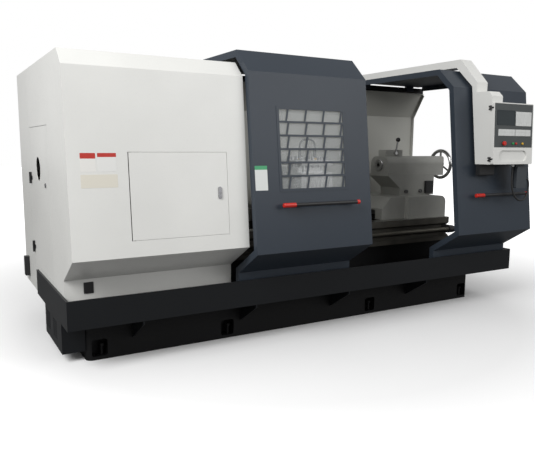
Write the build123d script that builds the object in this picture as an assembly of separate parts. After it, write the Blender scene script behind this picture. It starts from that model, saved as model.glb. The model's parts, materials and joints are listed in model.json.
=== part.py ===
from build123d import *
import math
import os

# All sizes are in mm. x runs along the bed from the headstock to the tailstock, y from the operator to the
# rear and z up. The origin lies on the floor under the middle of the base, in the spindle's upright plane.

# Clearances and stock
SHEET = 4.0
DOOR_GAP = 3.0
SLIDE_GAP = 0.3
SHAFT_GAP = 0.05

# Base casting with its foot pockets
BASE_LENGTH = 3840.0
BASE_WIDTH = 1318.0
BASE_HEIGHT = 319.0
BASE_CORNER = 45.0
PEDESTAL_WIDTH = 640.0
PEDESTAL_TOP = 560.0
PEDESTAL_INSET = 40.0
POCKET_WIDTH = 112.0
POCKET_HEIGHT = 125.0
POCKET_DEPTH = 95.0
POCKET_FLOOR = 24.0
POCKET_RADIUS = 18.0
POCKET_FROM_END = 92.0
INNER_POCKETS = (-818.0, 636.0)
ANCHOR_HOLE_RADIUS = 14.0
ANCHOR_FROM_FACE = 48.0
ANCHOR_OFFSET = 24.0
LEVELLING_RADIUS = 12.0
LEVELLING_HEAD = 20.0
LEVELLING_HEAD_HEIGHT = 18.0
LEVELLING_LENGTH = 88.0

# Bed with two ways
BED_WIDTH = 755.0
BED_TOP = 800.0
BED_LEFT = -1880.0
BED_RIGHT = 1912.0
WAY_WIDTH = 128.0
WAY_HEIGHT = 62.0
BED_WEB = 60.0
BED_WEB_INSET = 34.0
BED_FOOT_HEIGHT = 42.0
BED_SLOPE = 22.0
BED_RIB = 32.0
BED_RIB_PITCH = 474.0

# Chip tray
TRAY_LEFT = -2096.0
TRAY_RIGHT = 2199.0
TRAY_FRONT = -930.0
TRAY_REAR = 560.0
TRAY_LEFT_REAR = 232.0
TRAY_TOP = 518.0
TRAY_RIM = 16.0
GUSSET_PITCH = 887.0
GUSSET_FIRST = -1590.0
GUSSET_COUNT = 4
GUSSET_SHEET = 10.0
GUSSET_DROP = 189.0
GUSSET_TOE = 24.0

# Spindle, chuck and headstock
SPINDLE_HEIGHT = 1335.0
SPINDLE_BORE = 52.0
SPINDLE_RADIUS = 100.0
SPINDLE_TAIL_RADIUS = 75.0
SPINDLE_TAIL = -2030.0
SPINDLE_FLANGE_RADIUS = 155.0
SPINDLE_FLANGE = 40.0
HEADSTOCK_LEFT = -1850.0
HEADSTOCK_RIGHT = -900.0
HEADSTOCK_WIDTH = 640.0
HEADSTOCK_TOP = 1640.0
HEADSTOCK_ROUND = 60.0
BEARING_COVER_RADIUS = 200.0
BEARING_COVER = 28.0
CHUCK_RADIUS = 315.0
CHUCK_THICKNESS = 158.0
CHUCK_BORE = 88.0
CHUCK_CHAMFER = 10.0
JAW_COUNT = 3
JAW_NECK = 44.0
JAW_FOOT = 70.0
JAW_FOOT_HEIGHT = 22.0
JAW_SLOT_DEPTH = 52.0
JAW_INNER = 118.0
JAW_OUTER = 296.0
JAW_STEP = 34.0
JAW_STEP_COUNT = 3
JAW_TOP_WIDTH = 66.0
PULLEY_WIDTH = 96.0
PULLEY_RADIUS = 190.0
MOTOR_PULLEY_RADIUS = 95.0
BELT = 12.0
MOTOR_RADIUS = 148.0
MOTOR_LENGTH = 440.0
MOTOR_Y = -610.0
MOTOR_HEIGHT = 560.0
MOTOR_SHAFT_RADIUS = 24.0
MOTOR_FOOT_WIDTH = 240.0
MOTOR_FOOT = 24.0
MOTOR_FIN_COUNT = 10
MOTOR_GROOVE = 12.0

# Headstock cover, a sheet housing whose front leans back
COVER_LEFT = -2080.0
COVER_LENGTH = 1230.0
COVER_TOP = 2107.0
COVER_TOP_FRONT = -865.0
COVER_SHOULDER = (-980.0, 2000.0)
COVER_KNEE = (-1089.0, 802.0)
COVER_SKIRT = (-790.0, 626.0)
COVER_REAR = 384.0
CABINET_REAR = 897.0
CABINET_SEAM = 4.0
COVER_NOTCH_GAP = 12.0
CHUCK_HOLE_RADIUS = 240.0
ACCESS_LEFT = -1700.0
ACCESS_RIGHT = -1000.0
ACCESS_BOTTOM = 905.0
ACCESS_TOP = 1476.0
ACCESS_HINGE_GAP = 6.0
ACCESS_HINGE_DEPTH = 8.0
ACCESS_LIP = 22.0
PIVOT_RADIUS = 3.0
PIVOT_BLOCK = 14.0
LATCH_X = -1064.0
LATCH_HEIGHT = 1196.0
LATCH_LENGTH = 84.0
LATCH_WIDTH = 26.0
LATCH_THICKNESS = 7.0
LATCH_SHAFT_RADIUS = 7.0
LATCH_TONGUE = 58.0
SIDE_DOOR_FRONT = -423.0
SIDE_DOOR_REAR = 334.0
SIDE_DOOR_BOTTOM = 550.0
SIDE_DOOR_TOP = 1650.0
SIDE_DOOR_RIM = 18.0
SPINDLE_PORT_RADIUS = 90.0
SIDE_LOCK_Y = -300.0
SIDE_LOCK_HEIGHT = 1227.0
SIDE_LOCK_RADIUS = 16.0
HINGE_BARREL = 10.0
HINGE_PIN = 5.0
HINGE_LEAF = 4.0
HINGE_HEIGHT = 90.0
HINGE_REACH = 44.0
SIDE_HINGE_HEIGHTS = (695.0, 1255.0)
CABINET_DOOR_MARGIN = 40.0
CABINET_HINGE_HEIGHTS = (520.0, 1203.0, 1887.0)
INLET_WIDTH = 62.0
INLET_HEIGHT = 170.0
INLET_Y = 722.0
INLET_BOTTOM = 380.0
INLET_DEPTH = 40.0
DRIVE_COUNT = 3
DRIVE_WIDTH = 190.0
DRIVE_DEPTH = 230.0
DRIVE_HEIGHT = 420.0
DRIVE_FROM_BOTTOM = 1050.0
CONTACTOR_ROWS = 2
CONTACTOR_COUNT = 8
CONTACTOR_SIDE = 82.0
CONTACTOR_FROM_BOTTOM = 180.0
CONTACTOR_PITCH = 380.0

# Louvred box under the tray's left end
LOUVRE_BOX_FRONT = -630.0
LOUVRE_BOX_REAR = -10.0
LOUVRE_BOX_BOTTOM = 70.0
LOUVRE_COUNT = 8
LOUVRE_LENGTH = 150.0
LOUVRE_BOTTOM = 136.0
LOUVRE_PITCH = 17.0
LOUVRE_SLOT = 7.0
LOUVRE_COLUMNS = (-140.0, -395.0)

# Sliding doors, hoods with the cover's outline moved out
DOOR_TOP = 2200.0
DOOR_TOP_FRONT = -857.0
DOOR_SHOULDER = (-1032.0, 2036.0)
DOOR_KNEE = (-1181.0, 756.0)
DOOR_SKIRT = (-892.0, 574.0)
DOOR_SKIRT_BOTTOM = 470.0
DOOR_ROOF_REAR = 390.0
DOOR_FLANGE = 50.0
DOOR_FLANGE_REAR = 330.0
DOOR_1_LEFT = -834.0
DOOR_1_WIDTH = 1040.0
OPEN_BAY = 970.0
DOOR_2_WIDTH = 965.0
DOOR_1_TRAVEL = 1150.0
RAIL_Y = 360.0
RAIL_SHEET = 12.0
RAIL_TOP = 2180.0
RAIL_FOOT = 30.0
FRONT_RAIL_TOP = 440.0
SHOE_LENGTH = 100.0
SHOE_WIDTH = 36.0
SHOE_DEPTH = 40.0
SHOE_FROM_END = 120.0

# Window with its guard plate, handles and their caps
WINDOW_LEFT = -610.0
WINDOW_RIGHT = -30.0
WINDOW_BOTTOM = 1205.0
WINDOW_TOP = 1790.0
WINDOW_GLASS = 6.0
WINDOW_LAP = 20.0
GUARD_SHEET = 3.0
GUARD_ROWS = 6
GUARD_COLUMN_PITCH = 160.0
GUARD_BAR = 14.0
GUARD_LEAN = 13.0
GUARD_FIRST_BAR = 68.0
HANDLE_1_LEFT = -631.0
HANDLE_2_LEFT = 1349.0
HANDLE_LENGTH = 684.0
HANDLE_HEIGHT = 1094.0
HANDLE_RADIUS = 14.0
HANDLE_POST_RADIUS = 11.0
HANDLE_POST_INSET = 130.0
HANDLE_STANDOFF = 52.0
HANDLE_CAP_RADIUS = 17.0
HANDLE_LONG_CAP = 104.0
HANDLE_SHORT_CAP = 26.0
HANDLE_CAP_ROUND = 5.0

# Rear guard
GUARD_Y = 522.0
GUARD_KNEE = 1864.0
GUARD_TOP = 2120.0
GUARD_TOP_Y = 365.0
GUARD_TOP_FLANGE = 30.0
GUARD_END_STRIP = 40.0

# Control arm and control box
ARM_LEFT = 1380.0
ARM_WIDTH = 135.0
ARM_TOP = 2295.0
ARM_DOOR_GAP = 26.0
ARM_TOP_FRONT = -910.0
ARM_BEND = (-1107.0, 2083.0)
ARM_BLOCK_TOP = 1994.0
ARM_BLOCK_FRONT = -1277.0
ARM_BLOCK_CHAMFER = 40.0
ARM_BLOCK_BOTTOM = 1900.0
POST_DEPTH = 95.0
POST_WALL = 8.0
BOX_WIDTH = 515.0
BOX_BOTTOM = 1374.0
BOX_FRONT_TOP = -1273.0
BOX_FRONT_BOTTOM = -1295.0
BOX_SHEET = 3.0
FRONT_THICKNESS = 30.0
FRONT_RADIUS = 14.0
FRONT_WALL = 4.0
FRONT_HINGE_FROM_EDGE = 46.0
FRONT_HINGE_HEIGHT = 36.0
FRONT_HINGE_REACH = 26.0

# Operator panel, with places measured from the middle of the control front
FIELD_MARGIN = 8.0
FIELD_BOTTOM = -118.0
FIELD_DEPTH = 6.0
SCREEN_SIDES = (-218.0, 8.0)
SCREEN_ENDS = (72.0, 199.0)
BEZEL = 8.0
KEYPAD_SIDES = (23.0, 229.0)
KEYPAD_ENDS = (68.0, 190.0)
KEYPAD_COLUMNS = 6
KEYPAD_ROWS = 4
LEFT_KEYS = (-199.0, 12.0)
RIGHT_KEYS = (19.0, 222.0)
KEY_STRIP_ENDS = (-19.0, 37.0)
KEY_STRIP_COLUMNS = 6
KEY_STRIP_ROWS = 2
KEY_THICKNESS = 3.0
KEY_HEIGHT = 1.5
KEY_GAP = 5.0
POCKET_SLOT_WIDTH = 365.0
POCKET_SLOT_HEIGHT = 94.0
POCKET_SLOT_DEPTH = 12.0
POCKET_SLOT_Y = -191.0
ESTOP_PLACE = (-129.0, -84.0)
ESTOP_RADIUS = 19.0
ESTOP_STEM = 11.0
ESTOP_HEIGHT = 16.0
BUTTON_STATIONS = (-13.0, 28.0, 114.0)
BUTTON_RADIUS = 10.0
BUTTON_STEM = 6.0
BUTTON_HEIGHT = 8.0
BUTTON_TRAVEL = 4.0

# Hand pendant under the control box with its cable
PENDANT_LEFT = 1750.0
PENDANT_WIDTH = 130.0
PENDANT_TOP = 1352.0
PENDANT_BOTTOM = 1160.0
PENDANT_FRONT = -1290.0
PENDANT_DEPTH = 42.0
PENDANT_ROUND = 10.0
HANGER_WIDTH = 110.0
HANGER_SHEET = 5.0
GLAND_RADIUS = 12.0
CABLE_RADIUS = 5.0
CABLE_BEND_SHARE = 0.45
CABLE_ROUTE = [
    (1720.0, -1262.0, 1352.0),
    (1720.0, -1262.0, 1300.0),
    (1715.0, -1265.0, 1232.0),
    (1722.0, -1268.0, 1160.0),
    (1750.0, -1271.0, 1094.0),
    (1806.0, -1273.0, 1048.0),
    (1876.0, -1273.0, 1044.0),
    (1930.0, -1271.0, 1086.0),
    (1948.0, -1270.0, 1152.0),
    (1944.0, -1269.0, 1214.0),
    (1922.0, -1269.0, 1240.0),
    (1888.0, -1269.0, 1240.0),
]
JUNCTION_WIDTH = 190.0
JUNCTION_HEIGHT = 100.0
JUNCTION_DEPTH = 42.0

# Carriage, cross slide and tool post
SADDLE_LEFT = -130.0
SADDLE_LENGTH = 800.0
SADDLE_HEIGHT = 158.0
SADDLE_WIDTH = 930.0
SADDLE_WAIST = 420.0
SADDLE_ARCH = 90.0
SADDLE_WING_STEP = 40.0
SADDLE_SKIRT = 90.0
BED_SIDE_GAP = 4.0
APRON_LEFT_INSET = 150.0
APRON_LENGTH = 500.0
APRON_BOTTOM = 590.0
APRON_DEPTH = 96.0
APRON_CHAMFER = 40.0
CROSS_WIDTH = 360.0
CROSS_LENGTH = 620.0
CROSS_HEIGHT = 190.0
CROSS_FRONT = -560.0
DOVETAIL_WIDTH = 250.0
DOVETAIL_HEIGHT = 30.0
DOVETAIL_ANGLE = 60.0
POST_SIDE = 330.0
POST_CENTRE_X = 140.0
POST_CENTRE_Y = -330.0
POST_TOP = 1400.0
POST_CHAMFER = 8.0
POST_STEM = 50.0
POST_GROOVE = 62.0
POST_GROOVE_DEPTH = 60.0
POST_STEM_RADIUS = 60.0
POST_BOLT_RADIUS = 10.0
POST_BOLT_HEIGHT = 28.0
POST_BOLTS_A_SIDE = 4
TOOL_SECTION = 40.0
TOOL_REACH = 70.0
COOLANT_SPAN = 160.0
COOLANT_RISE = 180.0
COOLANT_DROP = 90.0
COOLANT_BEND = 60.0
COOLANT_RADIUS = 9.0
UNION_HEIGHT = 70.0
UNION_RADIUS = 15.0
SCREW_Y = -430.0
SCREW_HEIGHT = 678.0
SCREW_RADIUS = 25.0
SCREW_BEARING = 66.0
SCREW_BEARING_WALL = 12.0
SERVO_LEFT = -1840.0
SERVO_LENGTH = 220.0
SERVO_SIDE = 110.0
SERVO_FLANGE = 14.0
SERVO_CHAMFER = 12.0
FEED_SERVO_SIDE = 72.0

# Tailstock
TAIL_LEFT = 1380.0
TAIL_LENGTH = 520.0
TAIL_BASE_WIDTH = 660.0
TAIL_BASE_TOP = 1020.0
TAIL_TOE_LEFT = 1075.0
TAIL_TOE_WIDTH = 560.0
TAIL_TOE_FLAT = 180.0
TAIL_ROUND = 70.0
TAIL_ARCH = 360.0
TAIL_TOE_HEIGHT = 110.0
COLUMN_WIDTH = 300.0
COLUMN_LEFT = 1420.0
COLUMN_BRACKET = 1100.0
COLUMN_LAP = 20.0
BARREL_LEFT = 1265.0
BARREL_RIGHT = 2096.0
BARREL_BOTTOM = 1222.0
BARREL_TOP = 1424.0
BARREL_WIDTH = 262.0
BARREL_ROUND = 78.0
BARREL_END_ROUND = 70.0
QUILL_RADIUS = 60.0
QUILL_SOCKET = 22.0
QUILL_SOCKET_DEPTH = 120.0
QUILL_PROUD = 16.0
QUILL_CHAMFER = 4.0
QUILL_SOCKET_END = 16.0
QUILL_SCREW_FROM_NOSE = 330.0
QUILL_LENGTH = 620.0
WHEEL_RADIUS = 165.0
WHEEL_RIM = 18.0
WHEEL_HUB = 38.0
WHEEL_HUB_LENGTH = 62.0
WHEEL_SPOKES = 3
WHEEL_SPOKE = 11.0
WHEEL_GRIP = 15.0
WHEEL_GRIP_LENGTH = 30.0
WHEEL_X = 2142.0
WHEEL_SHAFT = 20.0
CLAMP_LEFT = 1300.0
CLAMP_LENGTH = 220.0
CLAMP_HEIGHT = 66.0
CLAMP_WIDTH = 120.0
LEVER_SHAFT = 16.0
LEVER_LENGTH = 140.0
LEVER_RADIUS = 9.0
LEVER_KNOB = 22.0
LEVER_LEAN = 12.0

# Places that follow from the sizes above
BASE_LEFT = -BASE_LENGTH / 2
BASE_RIGHT = BASE_LENGTH / 2
BASE_FRONT = -BASE_WIDTH / 2
TRAY_FLOOR = BASE_HEIGHT + SHEET
COVER_RIGHT = COVER_LEFT + COVER_LENGTH
SPINDLE_NOSE = HEADSTOCK_RIGHT + BEARING_COVER + SLIDE_GAP
CHUCK_LEFT = SPINDLE_NOSE + SPINDLE_FLANGE
CHUCK_RIGHT = CHUCK_LEFT + CHUCK_THICKNESS
DOOR_1_RIGHT = DOOR_1_LEFT + DOOR_1_WIDTH
DOOR_2_LEFT = DOOR_1_RIGHT + OPEN_BAY
DOOR_2_RIGHT = DOOR_2_LEFT + DOOR_2_WIDTH
SADDLE_RIGHT = SADDLE_LEFT + SADDLE_LENGTH
SADDLE_TOP = BED_TOP + SADDLE_HEIGHT
CROSS_TOP = SADDLE_TOP + CROSS_HEIGHT
TAIL_RIGHT = TAIL_LEFT + TAIL_LENGTH
BOX_LEFT = ARM_LEFT
BOX_RIGHT = BOX_LEFT + BOX_WIDTH
COOLANT_LEFT = POST_CENTRE_X - COOLANT_SPAN / 2
COOLANT_RIGHT = POST_CENTRE_X + COOLANT_SPAN / 2
COOLANT_ROUTE = [
    (COOLANT_LEFT, POST_CENTRE_Y, POST_TOP + UNION_HEIGHT),
    (COOLANT_LEFT, POST_CENTRE_Y, POST_TOP + COOLANT_RISE),
    (COOLANT_RIGHT, POST_CENTRE_Y, POST_TOP + COOLANT_RISE),
    (COOLANT_RIGHT, POST_CENTRE_Y, POST_TOP + COOLANT_RISE - COOLANT_DROP),
]
COVER_OUTLINE = [
    (COVER_REAR, COVER_TOP),
    (COVER_TOP_FRONT, COVER_TOP),
    COVER_SHOULDER,
    COVER_KNEE,
    COVER_SKIRT,
    (COVER_SKIRT[0], TRAY_FLOOR),
]
DOOR_OUTLINE = [
    (DOOR_ROOF_REAR, DOOR_TOP),
    (DOOR_TOP_FRONT, DOOR_TOP),
    DOOR_SHOULDER,
    DOOR_KNEE,
    DOOR_SKIRT,
    (DOOR_SKIRT[0], DOOR_SKIRT_BOTTOM),
]


def slab(x0, x1, y0, y1, z0, z1):
    """A box between two corners."""
    centre = ((x0 + x1) / 2, (y0 + y1) / 2, (z0 + z1) / 2)
    return Pos(*centre) * Box(x1 - x0, y1 - y0, z1 - z0)


def rod_x(x0, x1, y, z, radius):
    """A round bar along x."""
    return Pos((x0 + x1) / 2, y, z) * Rot(0, 90, 0) * Cylinder(radius, x1 - x0)


def rod_y(x, y0, y1, z, radius):
    """A round bar along y."""
    return Pos(x, (y0 + y1) / 2, z) * Rot(90, 0, 0) * Cylinder(radius, y1 - y0)


def rod_z(x, y, z0, z1, radius):
    """A round bar along z."""
    return Pos(x, y, (z0 + z1) / 2) * Cylinder(radius, z1 - z0)


def side_plane(x):
    """A drawing plane across the machine at x, for outlines of (y, z) points."""
    return Plane(origin=(x, 0, 0), x_dir=(0, 1, 0), z_dir=(1, 0, 0))


def side_section(points, x0, x1):
    """A closed outline of (y, z) points drawn out from x0 to x1."""
    return extrude(side_plane(x0) * Polygon(*points, align=None), x1 - x0, dir=(1, 0, 0))


def front_section(points, y0, y1):
    """A closed outline of (x, z) points drawn out from y0 to y1."""
    plane = Plane(origin=(0, y1, 0), x_dir=(1, 0, 0), z_dir=(0, -1, 0))
    return extrude(plane * Polygon(*points, align=None), y1 - y0, dir=(0, -1, 0))


def offset_line(points, distance):
    """An open line of points moved to its left by a distance, with mitred corners."""
    moved = []
    for index, point in enumerate(points):
        before = points[max(index - 1, 0)]
        after = points[min(index + 1, len(points) - 1)]
        turns = []
        for start, end in ((before, point), (point, after)):
            length = math.dist(start, end)
            if length > 0:
                turns.append(((start[1] - end[1]) / length, (end[0] - start[0]) / length))
        across = [sum(turn[axis] for turn in turns) for axis in (0, 1)]
        reach = distance / (across[0] * turns[0][0] + across[1] * turns[0][1])
        moved.append((point[0] + across[0] * reach, point[1] + across[1] * reach))
    return moved


def strip(points, thickness):
    """The closed outline of a bent sheet whose outer face follows an open line of points."""
    return list(points) + offset_line(points, thickness)[::-1]


def on_line(start, end, height):
    """The y of a line between two (y, z) points at a height."""
    share = (height - start[1]) / (end[1] - start[1])
    return start[0] + share * (end[0] - start[0])


def face_plane(outline, x, height):
    """A plane on the leaning front of an outline: x along the machine, y up the face, z outward."""
    shoulder = outline[2]
    knee = outline[3]
    lean = math.atan2(shoulder[0] - knee[0], shoulder[1] - knee[1])
    outward = (0, -math.cos(lean), math.sin(lean))
    return Plane(origin=(x, on_line(shoulder, knee, height), height), x_dir=(1, 0, 0), z_dir=outward)


def on_plane(plane, x0, x1, y0, y1, z0, z1):
    """A box given by its corners in a plane's own directions."""
    return plane.location * slab(x0, x1, y0, y1, z0, z1)


def hinge(plane, height, reach):
    """A barrel hinge whose pin is the plane's z, with its moving leaf towards x and its back at minus y.

    Returns the fixed half with the pin, and the moving half.
    """
    third = height / 3
    back = -HINGE_BARREL - SLIDE_GAP
    fixed = Cylinder(HINGE_PIN, height)
    for side in (-1, 1):
        middle = Pos(0, 0, side * third)
        leaf = slab(-reach, 0, back, back + HINGE_LEAF, -third / 2, third / 2)
        fixed += middle * (Cylinder(HINGE_BARREL, third) + leaf)
    half = third / 2 - SLIDE_GAP
    moving = Cylinder(HINGE_BARREL, 2 * half)
    moving += slab(0, reach, back, back + HINGE_LEAF, -half, half)
    moving -= Cylinder(HINGE_PIN + SHAFT_GAP, height)
    return plane.location * fixed, plane.location * moving


def hinge_planes(x, y, heights, x_dir, z_dir):
    """Hinge planes one above the other on an upright pin line."""
    return [Plane(origin=(x, y, height), x_dir=x_dir, z_dir=z_dir) for height in heights]


# Base, bed and tray
def pocket_stations():
    """The x of each foot pocket along the base."""
    return [BASE_LEFT + POCKET_FROM_END, *INNER_POCKETS, BASE_RIGHT - POCKET_FROM_END]


def foot_places():
    """The (x, y) of each foot pocket's middle, front and rear."""
    y = BASE_FRONT + ANCHOR_FROM_FACE
    return [(x, side * y) for x in pocket_stations() for side in (1, -1)]


def base_casting():
    """The base: a wide foot with a pedestal for the bed, and the levelling bolts in its foot pockets."""
    foot = slab(BASE_LEFT, BASE_RIGHT, BASE_FRONT, -BASE_FRONT, 0, BASE_HEIGHT)
    foot = fillet(foot.edges().filter_by(Axis.Z), BASE_CORNER)
    half = PEDESTAL_WIDTH / 2
    pedestal = slab(
        BASE_LEFT + PEDESTAL_INSET,
        BASE_RIGHT - PEDESTAL_INSET,
        -half,
        half,
        BASE_HEIGHT,
        PEDESTAL_TOP,
    )
    for x in pocket_stations():
        for side in (-1, 1):
            outline = RectangleRounded(POCKET_WIDTH, POCKET_HEIGHT, POCKET_RADIUS)
            mouth = Plane(
                origin=(x, side * BASE_WIDTH / 2, POCKET_FLOOR + POCKET_HEIGHT / 2),
                x_dir=(1, 0, 0),
                z_dir=(0, -side, 0),
            )
            foot -= extrude(mouth * outline, POCKET_DEPTH)
    for x, y in foot_places():
        foot -= rod_z(x - ANCHOR_OFFSET, y, -1, POCKET_FLOOR + 1, ANCHOR_HOLE_RADIUS)
        foot -= rod_z(x + ANCHOR_OFFSET, y, -1, POCKET_FLOOR + 1, LEVELLING_RADIUS + SLIDE_GAP)
    return Compound([foot + pedestal, *levelling_bolts()])


def levelling_bolts():
    """A hexagon-headed levelling bolt in every foot pocket, its point on the floor."""
    bolts = []
    for x, y in foot_places():
        head = extrude(RegularPolygon(LEVELLING_HEAD, 6), LEVELLING_HEAD_HEIGHT)
        shank = rod_z(x + ANCHOR_OFFSET, y, 0, LEVELLING_LENGTH, LEVELLING_RADIUS)
        bolts.append(shank + Pos(x + ANCHOR_OFFSET, y, LEVELLING_LENGTH) * head)
    return bolts


def bed_half_outline():
    """The front half of the bed's section: foot, web and way."""
    front = -BED_WIDTH / 2
    back = front + WAY_WIDTH
    web_front = front + BED_WEB_INSET
    web_back = web_front + BED_WEB
    way_bottom = BED_TOP - WAY_HEIGHT
    foot_top = PEDESTAL_TOP + BED_FOOT_HEIGHT
    return [
        (front, BED_TOP),
        (front, way_bottom),
        (web_front, way_bottom - BED_SLOPE),
        (web_front, foot_top + BED_SLOPE),
        (front, foot_top),
        (front, PEDESTAL_TOP),
        (back, PEDESTAL_TOP),
        (back, foot_top),
        (web_back, foot_top + BED_SLOPE),
        (web_back, way_bottom - BED_SLOPE),
        (back, way_bottom),
        (back, BED_TOP),
    ]


def bed_ways():
    """The bed: two ways on webs, tied by ribs with open bays between them."""
    outline = bed_half_outline()
    bed = side_section(outline, BED_LEFT, BED_RIGHT)
    bed += side_section([(-y, z) for y, z in outline], BED_LEFT, BED_RIGHT)
    reach = BED_WIDTH / 2 - BED_WEB_INSET
    count = int((BED_RIGHT - BED_LEFT) / BED_RIB_PITCH)
    pitch = (BED_RIGHT - BED_LEFT - BED_RIB) / count
    for index in range(count + 1):
        x = BED_LEFT + index * pitch
        bed += slab(x, x + BED_RIB, -reach, reach, PEDESTAL_TOP, BED_TOP - WAY_HEIGHT)
    return bed


def tray_outline():
    """The tray's outer plan, stepped behind the headstock."""
    return [
        (TRAY_LEFT, TRAY_FRONT),
        (TRAY_RIGHT, TRAY_FRONT),
        (TRAY_RIGHT, TRAY_REAR),
        (COVER_RIGHT, TRAY_REAR),
        (COVER_RIGHT, TRAY_LEFT_REAR),
        (TRAY_LEFT, TRAY_LEFT_REAR),
    ]


def chip_tray():
    """The sheet tray round the pedestal, with turned-in rims on its walls, and the brackets below it."""
    height = TRAY_TOP - BASE_HEIGHT
    outer = tray_outline()
    inner = offset_closed(outer, SHEET)
    rim = offset_closed(outer, TRAY_RIM)
    tray = Pos(0, 0, BASE_HEIGHT) * extrude(Polygon(*outer, align=None), height)
    tray -= Pos(0, 0, TRAY_FLOOR) * extrude(Polygon(*inner, align=None), height - 2 * SHEET)
    tray -= Pos(0, 0, TRAY_TOP - SHEET) * extrude(Polygon(*rim, align=None), SHEET)
    half = PEDESTAL_WIDTH / 2
    tray -= slab(BASE_LEFT + PEDESTAL_INSET, BASE_RIGHT - PEDESTAL_INSET, -half, half, 0, TRAY_TOP + 1)
    return Compound([tray, *tray_gussets()])


def offset_closed(points, distance):
    """A closed plan, listed anticlockwise, moved inward by a distance."""
    looped = [points[-1], *points, points[0]]
    return offset_line(looped, distance)[1:-1]


def tray_gussets():
    """Sheet brackets from the base's front face to the tray's overhang."""
    gussets = []
    toe = BASE_HEIGHT - GUSSET_TOE
    for index in range(GUSSET_COUNT):
        x = GUSSET_FIRST + index * GUSSET_PITCH
        outline = [
            (BASE_FRONT, BASE_HEIGHT - GUSSET_DROP),
            (BASE_FRONT, BASE_HEIGHT),
            (TRAY_FRONT + SHEET, BASE_HEIGHT),
            (TRAY_FRONT + SHEET, toe),
        ]
        gussets.append(side_section(outline, x, x + GUSSET_SHEET))
    return gussets


def louvre_box():
    """The box under the tray's left end, with two columns of louvres in its end."""
    left = COVER_LEFT
    right = BASE_LEFT - SLIDE_GAP
    box = slab(left, right, LOUVRE_BOX_FRONT, LOUVRE_BOX_REAR, LOUVRE_BOX_BOTTOM, BASE_HEIGHT)
    box -= slab(
        left + SHEET,
        right - SHEET,
        LOUVRE_BOX_FRONT + SHEET,
        LOUVRE_BOX_REAR - SHEET,
        LOUVRE_BOX_BOTTOM + SHEET,
        BASE_HEIGHT - SHEET,
    )
    for y in LOUVRE_COLUMNS:
        for index in range(LOUVRE_COUNT):
            z = LOUVRE_BOTTOM + index * LOUVRE_PITCH
            half = LOUVRE_LENGTH / 2
            box -= slab(left - 1, left + SHEET + 1, y - half, y + half, z, z + LOUVRE_SLOT)
    return box


# Headstock with its spindle, chuck and drive
def headstock_casting():
    """The headstock casting on the bed, bored for the spindle, with its bearing cover."""
    half = HEADSTOCK_WIDTH / 2
    casting = slab(HEADSTOCK_LEFT, HEADSTOCK_RIGHT, -half, half, BED_TOP, HEADSTOCK_TOP)
    top_edges = casting.edges().filter_by(Axis.X).group_by(Axis.Z)[-1]
    casting = fillet(top_edges, HEADSTOCK_ROUND)
    cover_right = HEADSTOCK_RIGHT + BEARING_COVER
    casting += rod_x(HEADSTOCK_RIGHT, cover_right, 0, SPINDLE_HEIGHT, BEARING_COVER_RADIUS)
    casting -= rod_x(HEADSTOCK_LEFT - 1, cover_right + 1, 0, SPINDLE_HEIGHT, SPINDLE_RADIUS + SHAFT_GAP)
    return casting


def spindle():
    """The hollow spindle, with its tail for the pulley and its flange for the chuck."""
    body = rod_x(HEADSTOCK_LEFT, SPINDLE_NOSE, 0, SPINDLE_HEIGHT, SPINDLE_RADIUS)
    body += rod_x(SPINDLE_TAIL, HEADSTOCK_LEFT, 0, SPINDLE_HEIGHT, SPINDLE_TAIL_RADIUS)
    body += rod_x(SPINDLE_NOSE, CHUCK_LEFT, 0, SPINDLE_HEIGHT, SPINDLE_FLANGE_RADIUS)
    return body - rod_x(SPINDLE_TAIL - 1, CHUCK_LEFT + 1, 0, SPINDLE_HEIGHT, SPINDLE_BORE)


def jaw_turn(index):
    """A jaw's place round the spindle, the first one upright."""
    return Pos(0, 0, SPINDLE_HEIGHT) * Rot(index * 360 / JAW_COUNT, 0, 0)


def chuck_body():
    """The chuck body with a tee slot for each jaw."""
    body = rod_x(CHUCK_LEFT, CHUCK_RIGHT, 0, SPINDLE_HEIGHT, CHUCK_RADIUS)
    body = chamfer(body.edges().filter_by(GeomType.CIRCLE), CHUCK_CHAMFER)
    body -= rod_x(CHUCK_LEFT - 1, CHUCK_RIGHT + 1, 0, SPINDLE_HEIGHT, CHUCK_BORE)
    slot_left = CHUCK_RIGHT - JAW_SLOT_DEPTH
    neck = slab(slot_left, CHUCK_RIGHT + 1, -JAW_NECK / 2, JAW_NECK / 2, 0, CHUCK_RADIUS + 1)
    foot = slab(slot_left, slot_left + JAW_FOOT_HEIGHT, -JAW_FOOT / 2, JAW_FOOT / 2, 0, CHUCK_RADIUS + 1)
    for index in range(JAW_COUNT):
        body -= jaw_turn(index) * (neck + foot)
    return body


def chuck_jaw(index):
    """One stepped jaw with its tee foot in the chuck's slot."""
    gap = SLIDE_GAP
    foot_left = CHUCK_RIGHT - JAW_SLOT_DEPTH + gap
    foot_half = JAW_FOOT / 2 - gap
    neck_half = JAW_NECK / 2 - gap
    jaw = slab(
        foot_left,
        foot_left + JAW_FOOT_HEIGHT - 2 * gap,
        -foot_half,
        foot_half,
        JAW_INNER,
        JAW_OUTER,
    )
    jaw += slab(foot_left, CHUCK_RIGHT + gap, -neck_half, neck_half, JAW_INNER, JAW_OUTER)
    step_length = (JAW_OUTER - JAW_INNER) / JAW_STEP_COUNT
    for step in range(JAW_STEP_COUNT):
        right = CHUCK_RIGHT + gap + (JAW_STEP_COUNT - step) * JAW_STEP
        outer = JAW_INNER + (step + 1) * step_length
        half = JAW_TOP_WIDTH / 2
        jaw += slab(CHUCK_RIGHT + gap, right, -half, half, JAW_INNER + step * step_length, outer)
    return jaw_turn(index) * jaw


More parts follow.
